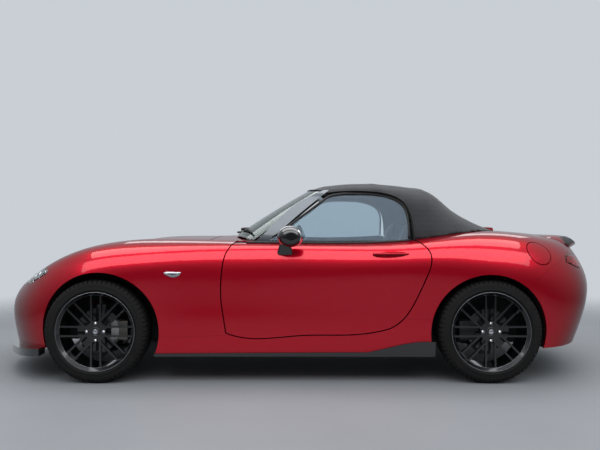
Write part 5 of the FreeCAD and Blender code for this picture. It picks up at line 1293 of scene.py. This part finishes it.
@dataclass
class Seat(Workshop):
    """A padded bucket seat: cushion, back and head roll in sewn hide."""

    voxel: float = 0.011
    frames: int = 14
    pressure: float = 3.0
    cap: float = 0.016
    shrink: float = 0.008
    seam_y: float = 0.135
    seam_depth: float = 0.008
    seam_width: float = 0.006
    channel_pitch: float = 0.085
    channel_depth: float = 0.0035
    bolster: Pair = (0.010, 0.05)
    thread_places: tuple[float, ...] = (-0.142, 0.142, -0.128, 0.128)
    thread_step: float = 0.012
    thread_points: int = 32
    back_from: Pair = (-0.6, 0.46)
    cushion_from: float = 0.02
    cushion_top: float = 0.55
    longest_gap: float = 0.045
    stitch_sizes: Point = (0.0065, 0.0045, 0.0012)

    def padded_shape(self, node: str) -> Thing:
        """The CAD seat as a padded piece: evenly remeshed, rounded and a little slimmer."""
        mesh = bpy.data.objects[node].data.copy()
        thing = self.linked(node + "_pad", self.kept(self.welded(mesh), mesh))
        remesh = thing.modifiers.new("even", "REMESH")
        remesh.mode = "VOXEL"
        remesh.voxel_size = self.voxel
        self.settle(thing)
        work = bmesh.new()
        work.from_mesh(thing.data)
        for _ in range(4):
            bmesh.ops.smooth_vert(work, verts=work.verts, factor=0.5, use_axis_x=True, use_axis_y=True,
                                  use_axis_z=True)
        work.normal_update()
        for vert in work.verts:
            vert.co -= vert.normal * self.shrink
        self.kept(work, thing.data)
        return thing

    def swell(self, thing: Thing) -> None:
        """Lets cloth under pressure fill the cover, no further than the cap."""
        before = [v.co.copy() for v in thing.data.vertices]
        cloth = thing.modifiers.new("cover", "CLOTH")
        cloth.settings.use_pressure = True
        cloth.settings.uniform_pressure_force = self.pressure
        cloth.settings.effector_weights.gravity = 0.0
        cloth.settings.quality = 4
        cloth.point_cache.frame_start = 1
        cloth.point_cache.frame_end = self.frames + 1
        for frame in range(1, self.frames + 1):
            bpy.context.scene.frame_set(frame)
        self.settle(thing)
        bpy.context.scene.frame_set(1)
        for vert, old in zip(thing.data.vertices, before):
            move = vert.co - old
            if move.length > self.cap:
                vert.co = old + move.normalized() * self.cap

    def channels(self, thing: Thing, middle_y: float) -> None:
        """Presses the bolster seams and the cross channels of the middle panel."""
        moves = []
        for vert in thing.data.vertices:
            past = abs(vert.co.y - middle_y) - self.seam_y
            dip = self.seam_depth * math.exp(-(past / self.seam_width) ** 2)
            if past < 0:
                wave = math.cos(2 * math.pi * (vert.co.x + vert.co.z) / self.channel_pitch)
                dip += self.channel_depth * max(0.0, -wave) ** 6
            else:
                dip -= self.bolster[0] * min(1.0, past / self.bolster[1])
            moves.append(vert.normal * dip)
        for vert, move in zip(thing.data.vertices, moves):
            vert.co -= move

    def seams(self, pad: Thing, middle_y: float, stitch: StitchLine) -> Thing:
        """Sews the bolster seams of cushion and back.

        Args:
            pad: the padded seat.
            middle_y: its middle.
            stitch: the sewing tree.

        Returns:
            The stitches.
        """
        skin = Skin(pad.name)
        runs: list[list[Vector]] = []
        for shift in self.thread_places:
            y = middle_y + shift
            steps = [self.thread_step * i for i in range(self.thread_points)]
            back = [skin.hit((self.back_from[0], y, self.back_from[1] + step), REARWARD) for step in steps]
            low = [skin.top(self.cushion_from + step, y) for step in steps]
            for hits in (back, [hit for hit in low if hit and hit[0].z < self.cushion_top]):
                runs.append([])
                for spot in raised(hits):
                    if runs[-1] and (spot - runs[-1][-1]).length > self.longest_gap:
                        runs.append([])
                    runs[-1].append(spot)
        return stitch.sew("seat_left_stitches", runs, self.stitch_sizes, THREAD)

    def build(self, stitch: StitchLine) -> None:
        """Makes the left seat and mirrors it to the right."""
        pad = self.padded_shape("seat_left")
        self.swell(pad)
        low, high, middle = span("seat_left")
        self.channels(pad, middle.y)
        for vert in pad.data.vertices:
            vert.co.y = max(low.y, min(high.y, vert.co.y))
            vert.co.x = max(low.x, min(high.x, vert.co.x))
        pad.data.materials.clear()
        pad.data.materials.append(SEAT_HIDE.material())
        twin = self.mirrored("seat_right_pad", pad)
        for thing, node in ((pad, "seat_left"), (twin, "seat_right")):
            self.wear(thing, "body", "seat_leather", node)
            LOG.info("%s: %d faces", thing.name, len(thing.data.polygons))
        sewn = self.seams(pad, middle.y, stitch)
        for thing in (sewn, self.mirrored("seat_right_stitches", sewn)):
            self.wear(thing, "body", "seat_leather")


@dataclass
class Lamps(Workshop):
    """Head, tail and marker lamps, with what shows behind their lenses."""

    lens_wall: float = 0.0025
    gap_share: float = 1.6
    depth: float = 0.030
    same_face: float = 0.8
    # Projectors: y and height of their middles, and their radii
    projectors: tuple[Point, ...] = ((0.545, 0.600, 0.021), (0.615, 0.618, 0.018), (0.675, 0.636, 0.015))
    projector_sink: float = 0.016
    # Shares of the rim's radius, and depths
    ring: Pairs = ((1.0, 0.0), (1.08, -0.002), (1.08, -0.014), (0.62, -0.016), (0.66, -0.012),
                              (0.92, -0.004))
    dome: Pairs = ((0.0, 0.0), (0.35, -0.002), (0.58, -0.007), (0.66, -0.013), (0.0, -0.013))
    marker_middle: Pair = (-0.751, 0.640)
    marker_outline: Pairs = ((-0.052, 0.006), (-0.030, 0.014), (0.020, 0.012), (0.050, 0.010),
                                        (0.036, -0.010), (0.010, -0.019), (-0.012, -0.016), (-0.036, -0.005))
    marker_rim: Pairs = ((1.0, 0.0002), (0.98, 0.0035), (0.86, 0.0045), (0.80, 0.003))
    marker_lens: Pairs = ((0.84, 0.0032), (0.80, 0.0052), (0.5, 0.0065), (0.2, 0.007))

    def lens_and_tub(self, node: str, side: Side, outward: Point, lens: Finish, tub: Finish) -> list[Thing]:
        """The thin lens over the CAD lamp's outer face, and the tub that it closes.

        Args:
            node: the CAD lamp node, both sides in one.
            side: the side to take.
            outward: the way that its outer face looks.
            lens: the lens's surface.
            tub: the tub's surface.

        Returns:
            Lens and tub.
        """
        word = node.rstrip("s") + "_" + side.word
        skin = self.welded(bpy.data.objects[node].data)
        bmesh.ops.delete(skin, geom=[v for v in skin.verts if v.co.y * side.value < 0], context="VERTS")
        skin.normal_update()
        keep_patch(skin, max(skin.faces, key=lambda f: f.normal.dot(Vector(outward)) * f.calc_area() ** 0.2),
                   self.same_face)
        deep = skin.copy()
        deep.normal_update()
        rim = {v for e in deep.edges if e.is_boundary for v in e.verts}
        for vert in deep.verts:
            vert.co -= vert.normal * (self.lens_wall * self.gap_share + (0.0 if vert in rim else self.depth))
        made = []
        for part, work, finish in (("_lens", skin, lens), ("_tub", deep, tub)):
            mesh = self.kept(work, bpy.data.meshes.new(word + part))
            made.append(self.walled(self.linked(word + part, mesh, finish), self.lens_wall))
        return made

    def bowl(self, name: str, place: Vector, way: Vector, radius: float) -> Thing:
        """One projector: a plated ring round a domed glass.

        Args:
            name: the piece's name.
            place: the middle of its rim.
            way: the way that it looks.
            radius: of its rim.

        Returns:
            The piece, both finishes in one mesh.
        """
        turn = Vector((0.0, 1.0, 0.0)).rotation_difference(way.normalized()).to_matrix().to_4x4()
        shift = Matrix.Translation(place) @ turn
        return self.join(name, [
            self.turned(f"{name}_{label}", [(radius * share, depth) for share, depth in profile], 28, finish,
                        lambda x, y, z: shift @ Vector((x, y, z)))
            for label, profile, finish in (("ring", self.ring, REFLECTOR), ("dome", self.dome, CLEAR_LENS))])

    def head(self, side: Side) -> None:
        """One headlamp, with three projectors."""
        out = side.value
        cover, tub = self.lens_and_tub("headlamps", side, (-0.6, out * 0.6, 0.5), CLEAR_LENS, BLACK_GLOSS)
        skin = Skin("headlamps")
        units = []
        way = Vector((-1.0, out * 0.15, 0.05))
        for i, (y, z, radius) in enumerate(self.projectors):
            found = skin.hit((-2.2, out * y, z), REARWARD)
            if found:
                place = found[0] + REARWARD * self.projector_sink
                units.append(self.bowl(f"headlamp_{side.word}_unit_{i}", place, way, radius))
        self.wear(cover, "body", "clear_lens", "headlamps")
        self.wear(tub, "body", "black_gloss")
        self.wear(self.join(f"headlamp_{side.word}_units", units), "body", "clear_lens")

    def tail(self, side: Side) -> None:
        """One tail lamp: a red lens over a red tub."""
        cover, tub = self.lens_and_tub("tail_lamps", side, (0.9, side.value * 0.4, 0.1), RED_LENS, RED_TUB)
        self.wear(cover, "body", "red_lens", "tail_lamps")
        self.wear(tub, "body", "clear_lens")

    def marker(self, side: Side) -> None:
        """The side marker on a front wing: a small bright lens in a chromed frame."""
        wing = Skin("front_wings")
        mid_x, mid_z = self.marker_middle
        shape = smooth_outline([(mid_x + a, mid_z + b) for a, b in self.marker_outline], 3)
        for part, steps, finish in (("rim", self.marker_rim, CHROME), ("lens", self.marker_lens, REFLECTOR)):
            made = self.moulded(f"marker_{part}_{side.word}", shape, lambda a, b: wing.side(a, b, side),
                                steps, finish)
            self.wear(made, "body", "clear_lens")

    def build(self) -> None:
        """Makes every lamp."""
        for lamp in (self.head, self.tail, self.marker):
            for side in Side:
                lamp(side)


@dataclass
class Screen(Workshop):
    """The wipers, and the black printed bands along the screen's head and foot."""

    # Wipers: name, x and y of the spindle, x and y of the far end
    wipers: tuple[tuple[str, Pair, Pair], ...] = (("wiper_left", (-0.405, -0.10), (-0.300, -0.56)),
                                                  ("wiper_right", (-0.405, 0.50), (-0.440, 0.02)))
    wiper_points: int = 15
    arm_points: int = 9
    blade_from: int = 3
    arm_height: float = 0.016
    arm_size: Pair = (0.014, 0.009)
    blade_shift: Point = (-0.010, 0.0, -0.004)
    blade: Pairs = ((-0.008, 0.0), (-0.004, 0.007), (0.004, 0.007), (0.008, 0.0), (0.002, -0.007),
                               (-0.002, -0.007))
    hub: Pairs = ((0.0, 0.010), (0.009, 0.009), (0.013, 0.004), (0.014, -0.012), (0.0, -0.012))
    # Bands: name, lower and upper edge at mid screen
    bands: tuple[tuple[str, float, float], ...] = (("foot_band", 0.858, 0.888), ("head_band", 1.118, 1.146))
    band_depth: float = 0.0065
    band_wall: float = 0.0008
    band_half: float = 0.54
    band_fall: float = 0.030

    def wiper(self, name: str, pivot: Pair, tip: Pair) -> Thing:
        """One parked wiper: arm, blade and hub.

        Args:
            name: the piece's name.
            pivot: x and y of its spindle.
            tip: x and y of its far end.

        Returns:
            The wiper.
        """
        skin = Skin("windscreen", "cowl", "bonnet")
        last = self.wiper_points - 1
        spots = [Vector(pivot).lerp(Vector(tip), i / last) for i in range(last + 1)]
        line = [hit[0] + UP * self.arm_height for hit in (skin.top(*spot) for spot in spots) if hit]
        edge = [p + Vector(self.blade_shift) for p in line[self.blade_from:]]
        return self.join(name, [
            self.swept(name + "_arm", line[:self.arm_points], oval(*self.arm_size, 8), MOULDED_BLACK),
            self.swept(name + "_blade", edge, self.blade, SEAL_RUBBER),
            self.turned(name + "_hub", self.hub, 20, MOULDED_BLACK,
                        lambda x, y, z: line[0] + Vector((x, z, y)))])

    def band(self, name: str, low: float, high: float) -> Thing:
        """One band on the screen's inner face.

        Args:
            name: the piece's name.
            low: its lower edge's height at mid screen.
            high: its upper edge's height there.

        Returns:
            The band.
        """
        screen = Skin("windscreen")
        rows = []
        for i in range(41):
            y = self.band_half * (i / 20 - 1)
            fall = self.band_fall * (y / self.band_half) ** 2
            hits = [screen.hit((-1.2, y, low + (high - low) * k / 3 - fall), REARWARD) for k in range(4)]
            if all(hits):
                rows.append([place - normal * self.band_depth for place, normal in hits])
        points = [p for row in rows for p in row]
        strip = self.piece(name, points, strips(len(rows), 4, wrap=False), SEAL_RUBBER)
        return self.walled(strip, self.band_wall)

    def build(self) -> None:
        """Fits wipers and bands."""
        for wiper in self.wipers:
            self.wear(self.wiper(*wiper), "body", "black_plastic")
        bands = self.join("screen_bands", [self.band(*band) for band in self.bands])
        self.wear(bands, "body", "black_plastic")


@dataclass
class Seals(Workshop):
    """Rubber round the side glass, and the strip along the door's belt."""

    middle: Pair = (0.22, 0.93)
    reach: float = 0.62
    step: float = 0.002
    gap: float = 0.006
    foot_z: float = 0.822
    first_ray: float = 195.0
    fan: float = 210.0
    rays: int = 60
    seal_size: Pair = (0.013, 0.010)
    belt: Pair = (-0.330, 0.650)
    belt_y: float = 0.7295
    belt_rise: float = 0.003
    belt_section: Pairs = ((-0.0075, -0.004), (0.0075, -0.004), (0.0065, 0.004), (0.002, 0.0075),
                                      (-0.002, 0.0075), (-0.0065, 0.004))

    def glass_edge(self, side: Side) -> list[Vector]:
        """Points just outside the glass's rim, from its front foot over its top to its rear foot."""
        glass = Skin("door_glass_" + side.word)
        mid_x, mid_z = self.middle
        made: list[Vector] = []
        for i in range(self.rays + 1):
            turn = math.radians(self.first_ray - self.fan * i / self.rays)
            along = Vector((math.cos(turn), 0.0, math.sin(turn)))
            reach = self.reach
            found = None
            while not found and reach > 0.05:
                found = glass.side(mid_x + along.x * reach, mid_z + along.z * reach, side)
                reach -= self.step
            if found and (found[0] + along * self.gap).z > self.foot_z:
                made.append(found[0] + along * self.gap)
        inner = [(a + b * 2 + c) / 4 for a, b, c in zip(made, made[1:], made[2:])]
        return [made[0], *inner, made[-1]]

    def build(self) -> None:
        """Lays the seals on both sides."""
        for side in Side:
            rim = [p + Vector((0.0, side.value * 0.001, 0.0)) for p in self.glass_edge(side)]
            self.wear(self.swept(f"glass_seal_{side.word}", rim, oval(*self.seal_size, 10), SEAL_RUBBER,
                                 up=Vector((0.0, 1.0, 0.0))), "body", "black_plastic")
            door = Skin("door_" + side.word)
            first, last = self.belt
            hits = [door.top(first + (last - first) * i / 40, side.value * self.belt_y) for i in range(41)]
            line = [hit[0] + UP * self.belt_rise for hit in hits if hit]
            strip = self.swept(f"belt_strip_{side.word}", line, self.belt_section, SEAL_RUBBER)
            self.wear(strip, "door_" + side.word, "black_plastic")


@dataclass
class Mirrors(Workshop):
    """The silvered glasses of the door mirrors, and the mirror inside the screen."""

    glass_half: Pair = (0.052, 0.037)
    glass_shift: float = 0.012
    glass_share: float = 0.66
    # The outline in shares of its half width and height
    outline: Pairs = ((-1.0, -0.5), (-0.7, -0.95), (0.7, -0.95), (1.0, -0.5), (1.0, 0.5), (0.7, 0.95),
                                 (-0.7, 0.95), (-1.0, 0.5))
    glass_steps: Pairs = ((1.0, -0.002), (1.0, 0.0015), (0.96, 0.0025), (0.5, 0.0026))
    inner_z: float = 1.085
    # The inner mirror: its head's first point and pitch, and its stem, from where the screen is met
    head_from: Point = (0.062, -0.112, -0.045)
    head_pitch: float = 0.014
    head_size: Pair = (0.026, 0.062)
    stem: tuple[Point, ...] = ((-0.001, 0.0, 0.004), (0.03, 0.0, -0.022), (0.056, 0.0, -0.038))
    stem_size: Pair = (0.020, 0.014)

    def door_glass(self, side: Side) -> Thing:
        """The glass on the rear of one mirror head."""
        node = "mirror_" + side.word
        head = Skin(node)
        low, high, middle = span(node)
        mid_y = middle.y + side.value * self.glass_shift
        mid_z = low.z + (high.z - low.z) * self.glass_share
        wide, tall = self.glass_half
        shape = smooth_outline([(mid_y + wide * a, mid_z + tall * b) for a, b in self.outline], 4)
        return self.moulded(f"mirror_glass_{side.word}", shape, lambda y, z: head.hit((1.0, y, z), FORWARD),
                            self.glass_steps, MIRROR_GLASS)

    def inner(self) -> Thing:
        """The mirror's black head and stem on the screen's head."""
        anchor = Skin("windscreen").hit((0.6, 0.0, self.inner_z), FORWARD)[0]
        line = [anchor + Vector(self.head_from) + Vector((0.0, self.head_pitch * i, 0.0)) for i in range(17)]
        head = self.swept("inner_mirror_head", line, oval(*self.head_size, 16), MOULDED_BLACK,
                          scales=[min(1.0, 0.45 + 0.35 * min(i, 16 - i)) for i in range(17)])
        stem = self.swept("inner_mirror_stem", [anchor + Vector(p) for p in self.stem],
                          oval(*self.stem_size, 10), MOULDED_BLACK)
        return self.join("inner_mirror", [head, stem])

    def build(self) -> None:
        """Fits all three."""
        for side in Side:
            self.wear(self.door_glass(side), "door_" + side.word, "clear_lens")
        self.wear(self.inner(), "body", "black_plastic")


@dataclass
class DoorTrim(Workshop):
    """The inner side of a door: a moulded panel, a padded elbow rest, a handle and a speaker's ring."""

    face_y: float = 0.7015
    outline: Pairs = ((-0.26, 0.40), (-0.20, 0.315), (0.10, 0.300), (0.46, 0.320), (0.56, 0.420),
                                 (0.610, 0.60), (0.600, 0.765), (0.30, 0.790), (0.0, 0.785), (-0.25, 0.775),
                                 (-0.285, 0.60))
    panel_steps: Pairs = ((1.0, -0.003), (1.0, 0.006), (0.985, 0.0105), (0.90, 0.012), (0.885, 0.0095),
                                     (0.87, 0.012), (0.4, 0.0125))
    elbow_from: Point = (-0.10, 0.676, 0.545)
    elbow_grow: Point = (0.60, -0.008, 0.030)
    elbow_size: Pair = (0.046, 0.056)
    handle_size: Pair = (0.010, 0.018)
    metal_rise: float = 0.014
    lever_from: Pair = (-0.150, 0.700)
    lever_step: Pair = (0.012, 0.001)
    lever_bow: float = 0.010
    lever_points: int = 10
    speaker: Pairs = ((0.074, 0.0), (0.080, 0.004), (0.084, 0.0), (0.080, -0.006))
    speaker_place: Pair = (-0.13, 0.425)

    def panel(self, side: Side) -> Thing:
        """The moulded panel with a sunk line round it."""
        out = side.value
        return self.moulded(f"door_trim_{side.word}", smooth_outline(self.outline, 5), lambda x, z: (
            Vector((x, out * self.face_y, z)), Vector((0.0, -out, 0.0))), self.panel_steps, CABIN_TRIM)

    def elbow(self, side: Side) -> Thing:
        """The elbow rest, bowed outwards and rising to its rear, with rounded ends."""
        line, scales = [], []
        for share in (i / 24 for i in range(25)):
            x, y, z = (a + b * c for a, b, c in zip(self.elbow_from, self.elbow_grow, (
                share, math.sin(math.pi * share), math.sin(0.5 * math.pi * share))))
            line.append(Vector((x, side.value * y, z)))
            scales.append(max(0.15, min(1.0, 6 * share, 8 * (1 - share))) ** 0.5)
        return self.swept(f"elbow_rest_{side.word}", line, oval(*self.elbow_size, 16), SEAT_HIDE,
                          scales=scales)

    def metal(self, side: Side) -> Thing:
        """The inner handle and the speaker's ring."""
        out = side.value
        y = out * (self.face_y - self.metal_rise)
        (x_from, z_from), (x_step, z_step) = self.lever_from, self.lever_step
        last = self.lever_points - 1
        lever = self.swept(f"inner_handle_{side.word}", [
            Vector((x_from + x_step * i, y - out * self.lever_bow * math.sin(math.pi * i / last),
                    z_from + z_step * i))
            for i in range(self.lever_points)], oval(*self.handle_size, 10), CHROME)
        mid_x, mid_z = self.speaker_place
        ring = self.turned(f"speaker_ring_{side.word}", self.speaker, 48, ALLOY_AND_PAINTED_RIM_HIGHLIGHT, lambda x, v, z: (
            x + mid_x, y - out * (0.001 + v), z + mid_z))
        return self.join(f"door_metal_{side.word}", [lever, ring])

    def build(self) -> None:
        """Trims both doors."""
        for side in Side:
            for thing, slot in ((self.panel(side), "black_plastic"), (self.elbow(side), "seat_leather"),
                                (self.metal(side), "black_plastic")):
                self.wear(thing, "door_" + side.word, slot)


@dataclass
class Fascia(Workshop):
    """What shows on the dashboard and console: vents, dials, screen, lever and hand brake."""

    face_x: float = -0.120
    vent_places: tuple[float, ...] = (-0.560, -0.160, 0.120, 0.590)
    vent_z: float = 0.705
    vent_radius: float = 0.040
    slat_share: float = 0.42
    slat_reach: float = 0.84
    slat_rise: float = 0.0055
    slat_size: Pair = (0.006, 0.0025)
    # Shares of the radius, and rises off the face
    vent_ring: Pairs = ((0.86, 0.002), (0.92, 0.008), (1.0, 0.007), (1.05, -0.002))
    vent_well: Pairs = ((0.0, 0.0015), (0.87, 0.0015), (0.87, 0.003), (0.0, 0.003))
    dial_face: Pairs = ((0.0, 0.003), (0.93, 0.003), (0.93, 0.0), (0.0, 0.0))
    dial_ring: Pairs = ((0.92, 0.0), (0.94, 0.008), (1.0, 0.007), (1.02, 0.0))
    # The hand's ends in shares of the dial's radius
    hand: Pairs = ((-0.1, -0.1), (0.5, 0.62))
    hand_rise: float = 0.005
    hand_size: Pair = (0.0022, 0.0012)
    # Dials: y from the steering wheel's middle, radius
    dial_places: Pairs = ((-0.085, 0.036), (0.0, 0.046), (0.085, 0.036))
    dial_middle: Point = (-0.186, 0.372, 0.665)
    display: Pairs = ((-0.090, 0.806), (-0.094, 0.765), (-0.090, 0.724), (0.0, 0.721), (0.090, 0.724),
                                 (0.094, 0.765), (0.090, 0.806), (0.0, 0.809))
    display_sink: float = 0.004
    display_steps: Pairs = ((1.0, 0.0), (1.0, 0.014), (0.97, 0.0165), (0.5, 0.0165))
    lever_place: Point = (0.060, 0.0, 0.4695)
    boot: Pairs = ((0.046, 0.0), (0.044, 0.012), (0.034, 0.028), (0.026, 0.040), (0.016, 0.056),
                              (0.010, 0.070), (0.0, 0.070), (0.0, 0.0))
    knob: Pairs = ((0.0, 0.060), (0.006, 0.060), (0.006, 0.105), (0.013, 0.112), (0.021, 0.126),
                              (0.024, 0.142), (0.021, 0.156), (0.010, 0.164), (0.0, 0.165))
    brake_y: float = 0.045
    brake: Pairs = ((0.36, 0.478), (0.30, 0.492), (0.24, 0.503), (0.17, 0.516), (0.145, 0.521))
    brake_size: Pair = (0.026, 0.024)

    def facing(self, name: str, profile: Sequence[Pair], radius: float, place: Vector, finish: Finish,
               segments: int = 32) -> Thing:
        """A turned piece that faces the seats.

        Args:
            name: the piece's name.
            profile: points as (share of the radius, rise towards the seats).
            radius: its size.
            place: its middle.
            finish: its surface.
            segments: steps round.

        Returns:
            The piece.
        """
        return self.turned(name, [(radius * share, rise) for share, rise in profile], segments, finish,
                           lambda x, y, z: place + Vector((y, x, z)))

    def vent(self, i: int, y: float) -> Thing:
        """One round vent with three slats."""
        place = Vector((self.face_x, y, self.vent_z))
        r = self.vent_radius
        made = [self.facing(f"vent_ring_{i}", self.vent_ring, r, place, ALLOY_AND_PAINTED_RIM_HIGHLIGHT, 40),
                self.facing(f"vent_well_{i}", self.vent_well, r, place, SEAL_RUBBER)]
        for k in (-1, 0, 1):
            z = k * r * self.slat_share
            half = math.sqrt((r * self.slat_reach) ** 2 - z ** 2)
            line = [place + Vector((self.slat_rise, half * (t / 4 - 1), z)) for t in range(9)]
            made.append(self.swept(f"vent_slat_{i}_{k}", line, oval(*self.slat_size, 8), MOULDED_BLACK))
        return self.join(f"vent_{i}", made)

    def dials(self) -> Thing:
        """Three ringed instruments before the driver."""
        made = []
        for i, (shift, radius) in enumerate(self.dial_places):
            place = Vector(self.dial_middle) + Vector((0.0, shift, 0.0))
            hand = [place + Vector((self.hand_rise, radius * a, radius * b)) for a, b in self.hand]
            made += [self.facing(f"dial_face_{i}", self.dial_face, radius, place, BLACK_GLOSS),
                     self.facing(f"dial_ring_{i}", self.dial_ring, radius, place, CHROME, 40),
                     self.swept(f"dial_hand_{i}", hand, oval(*self.hand_size, 6), RED_ENAMEL)]
        return self.join("dials", made)

    def screen(self) -> Thing:
        """The blank centre display."""
        return self.moulded("centre_display", smooth_outline(self.display, 4), lambda y, z: (
            Vector((self.face_x - self.display_sink, y, z)), REARWARD), self.display_steps, BLACK_GLOSS)

    def console(self) -> list[Thing]:
        """Gear lever with its boot, and the hand brake."""
        foot = Vector(self.lever_place)
        made = [self.turned(name, profile, 24, finish, lambda x, y, z: Vector((x, z, y)) + foot)
                for name, profile, finish in (("gear_boot", self.boot, SEAT_HIDE),
                                              ("gear_knob", self.knob, BLACK_GLOSS))]
        line = [Vector((x, self.brake_y, z)) for x, z in self.brake]
        return made + [self.swept("hand_brake", line, oval(*self.brake_size, 12), SEAT_HIDE)]

    def build(self) -> None:
        """Fits the fascia's pieces."""
        vents = self.join("vents", [self.vent(i, y) for i, y in enumerate(self.vent_places)])
        for thing in (vents, self.dials(), self.screen(), *self.console()):
            self.wear(thing, "body", "black_plastic")


@dataclass
class RearFittings(Workshop):
    """Stop lamp on the deck, black lip on the raised tail, and the blank plate."""

    stop_outline: Pairs = ((1.300, -0.085), (1.296, 0.0), (1.300, 0.085), (1.322, 0.098),
                                      (1.344, 0.085), (1.348, 0.0), (1.344, -0.085), (1.322, -0.098))
    stop_steps: Pairs = ((1.0, -0.002), (0.99, 0.010), (0.92, 0.019), (0.75, 0.0225), (0.3, 0.0235))
    lip_half: float = 0.42
    lip_wall: float = 0.003
    lip_taper: tuple[float, float, float] = (9.0, 0.44, 0.35)
    probe_step: float = 0.002
    # The lip's section: distance from the tail's edge, rise
    lip_section: Pairs = ((0.003, 0.0002), (0.008, 0.0037), (0.030, 0.0047), (0.062, 0.0037),
                                     (0.085, 0.0002))
    plate_half: Pair = (0.200, 0.0575)
    plate_z: float = 0.455
    plate_wall: float = 0.0009

    def stop_lamp(self) -> Thing:
        """The low lamp on the deck just behind the hood."""
        return self.moulded("high_stop_lamp", smooth_outline(self.stop_outline, 4), Skin("rear_body").top,
                            self.stop_steps, RED_LENS)

    def lip(self) -> Thing:
        """The satin black strip along the upper edge of the raised tail."""
        tail = Skin("boot_spoiler")
        low, high, _ = span("boot_spoiler")
        slope, past, least = self.lip_taper
        rows = []
        for i in range(49):
            y = self.lip_half * (i / 24 - 1)
            x = high.x + self.probe_step
            while x > low.x and not tail.top(x, y):
                x -= self.probe_step
            if x > low.x:
                share = max(least, min(1.0, slope * (past - abs(y))))
                rows.append([(tail.top(x - back * share, y) or tail.top(x, y))[0] + UP * lift
                             for back, lift in self.lip_section])
        width = len(self.lip_section)
        count = len(rows)
        points = [p for row in rows for p in row]
        half = len(points)
        points += [p - UP * self.lip_wall for p in points]
        upper = strips(count, width, wrap=False)
        faces = upper + [[half + i for i in reversed(face)] for face in upper]
        sides = [range(k, half, width) for k in (0, width - 1)]
        sides += [range(first, first + width) for first in (0, half - width)]
        faces += [[a, b, half + b, half + a] for line in sides for a, b in zip(line, line[1:])]
        return self.piece("tail_lip", points, faces, SEAL_RUBBER)

    def plate(self) -> Thing:
        """A blank number plate, bent a little to the bumper."""
        back = Skin("rear_bumper", "boot_lid", "diffuser")
        wide, tall = self.plate_half
        low, high = self.plate_z - tall, self.plate_z + tall
        corners = [(-wide + 2 * wide * i / 16, low) for i in range(17)]
        corners += [(wide, low + 2 * tall * i / 4) for i in range(1, 5)]
        corners += [(wide - 2 * wide * i / 16, high) for i in range(1, 17)]
        corners += [(-wide, high - 2 * tall * i / 4) for i in range(1, 4)]
        steps = [(1.0, -0.002), (1.0, self.plate_wall), (0.985, 0.0012)]
        steps += [(k / 12, self.plate_wall) for k in range(11, 0, -1)]
        return self.moulded("blank_plate", corners, lambda y, z: back.hit((3.0, y, z), FORWARD), steps,
                            PLATE_SHEET)

    def build(self) -> None:
        """Fits the rear's pieces."""
        self.wear(self.stop_lamp(), "body", "red_lens")
        self.wear(self.lip(), "boot_lid", "black_gloss")
        self.wear(self.plate(), "body", "clear_lens")


def dress_nodes(frame: dict) -> None:
    """Gives each CAD node that stays its finish."""
    for finish, nodes in NODE_FINISHES.items():
        for node in nodes:
            for held in frame["nodes"][node].material_slots:
                held.material = finish.material()


def main() -> None:
    """Builds the looks in order."""
    logging.basicConfig(level=logging.INFO, format="%(message)s")
    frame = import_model()
    Studio().build()
    dress_nodes(frame)
    ring = RingArray()
    stitch = StitchLine()
    for side in Side:
        for axle in ("front", "rear"):
            name = f"wheel_{axle}_{side.word}"
            Tyre().build(f"tyre_{axle}_{side.word}", name, ring)
            WheelDress().build(name, name, side, ring)
    Hood().build(stitch)
    Seat().build(stitch)
    for group in (Lamps, Screen, Seals, Mirrors, DoorTrim, Fascia, RearFittings):
        group().build()
        LOG.info("%s done", group.__name__)


if __name__ == "__main__":
    main()
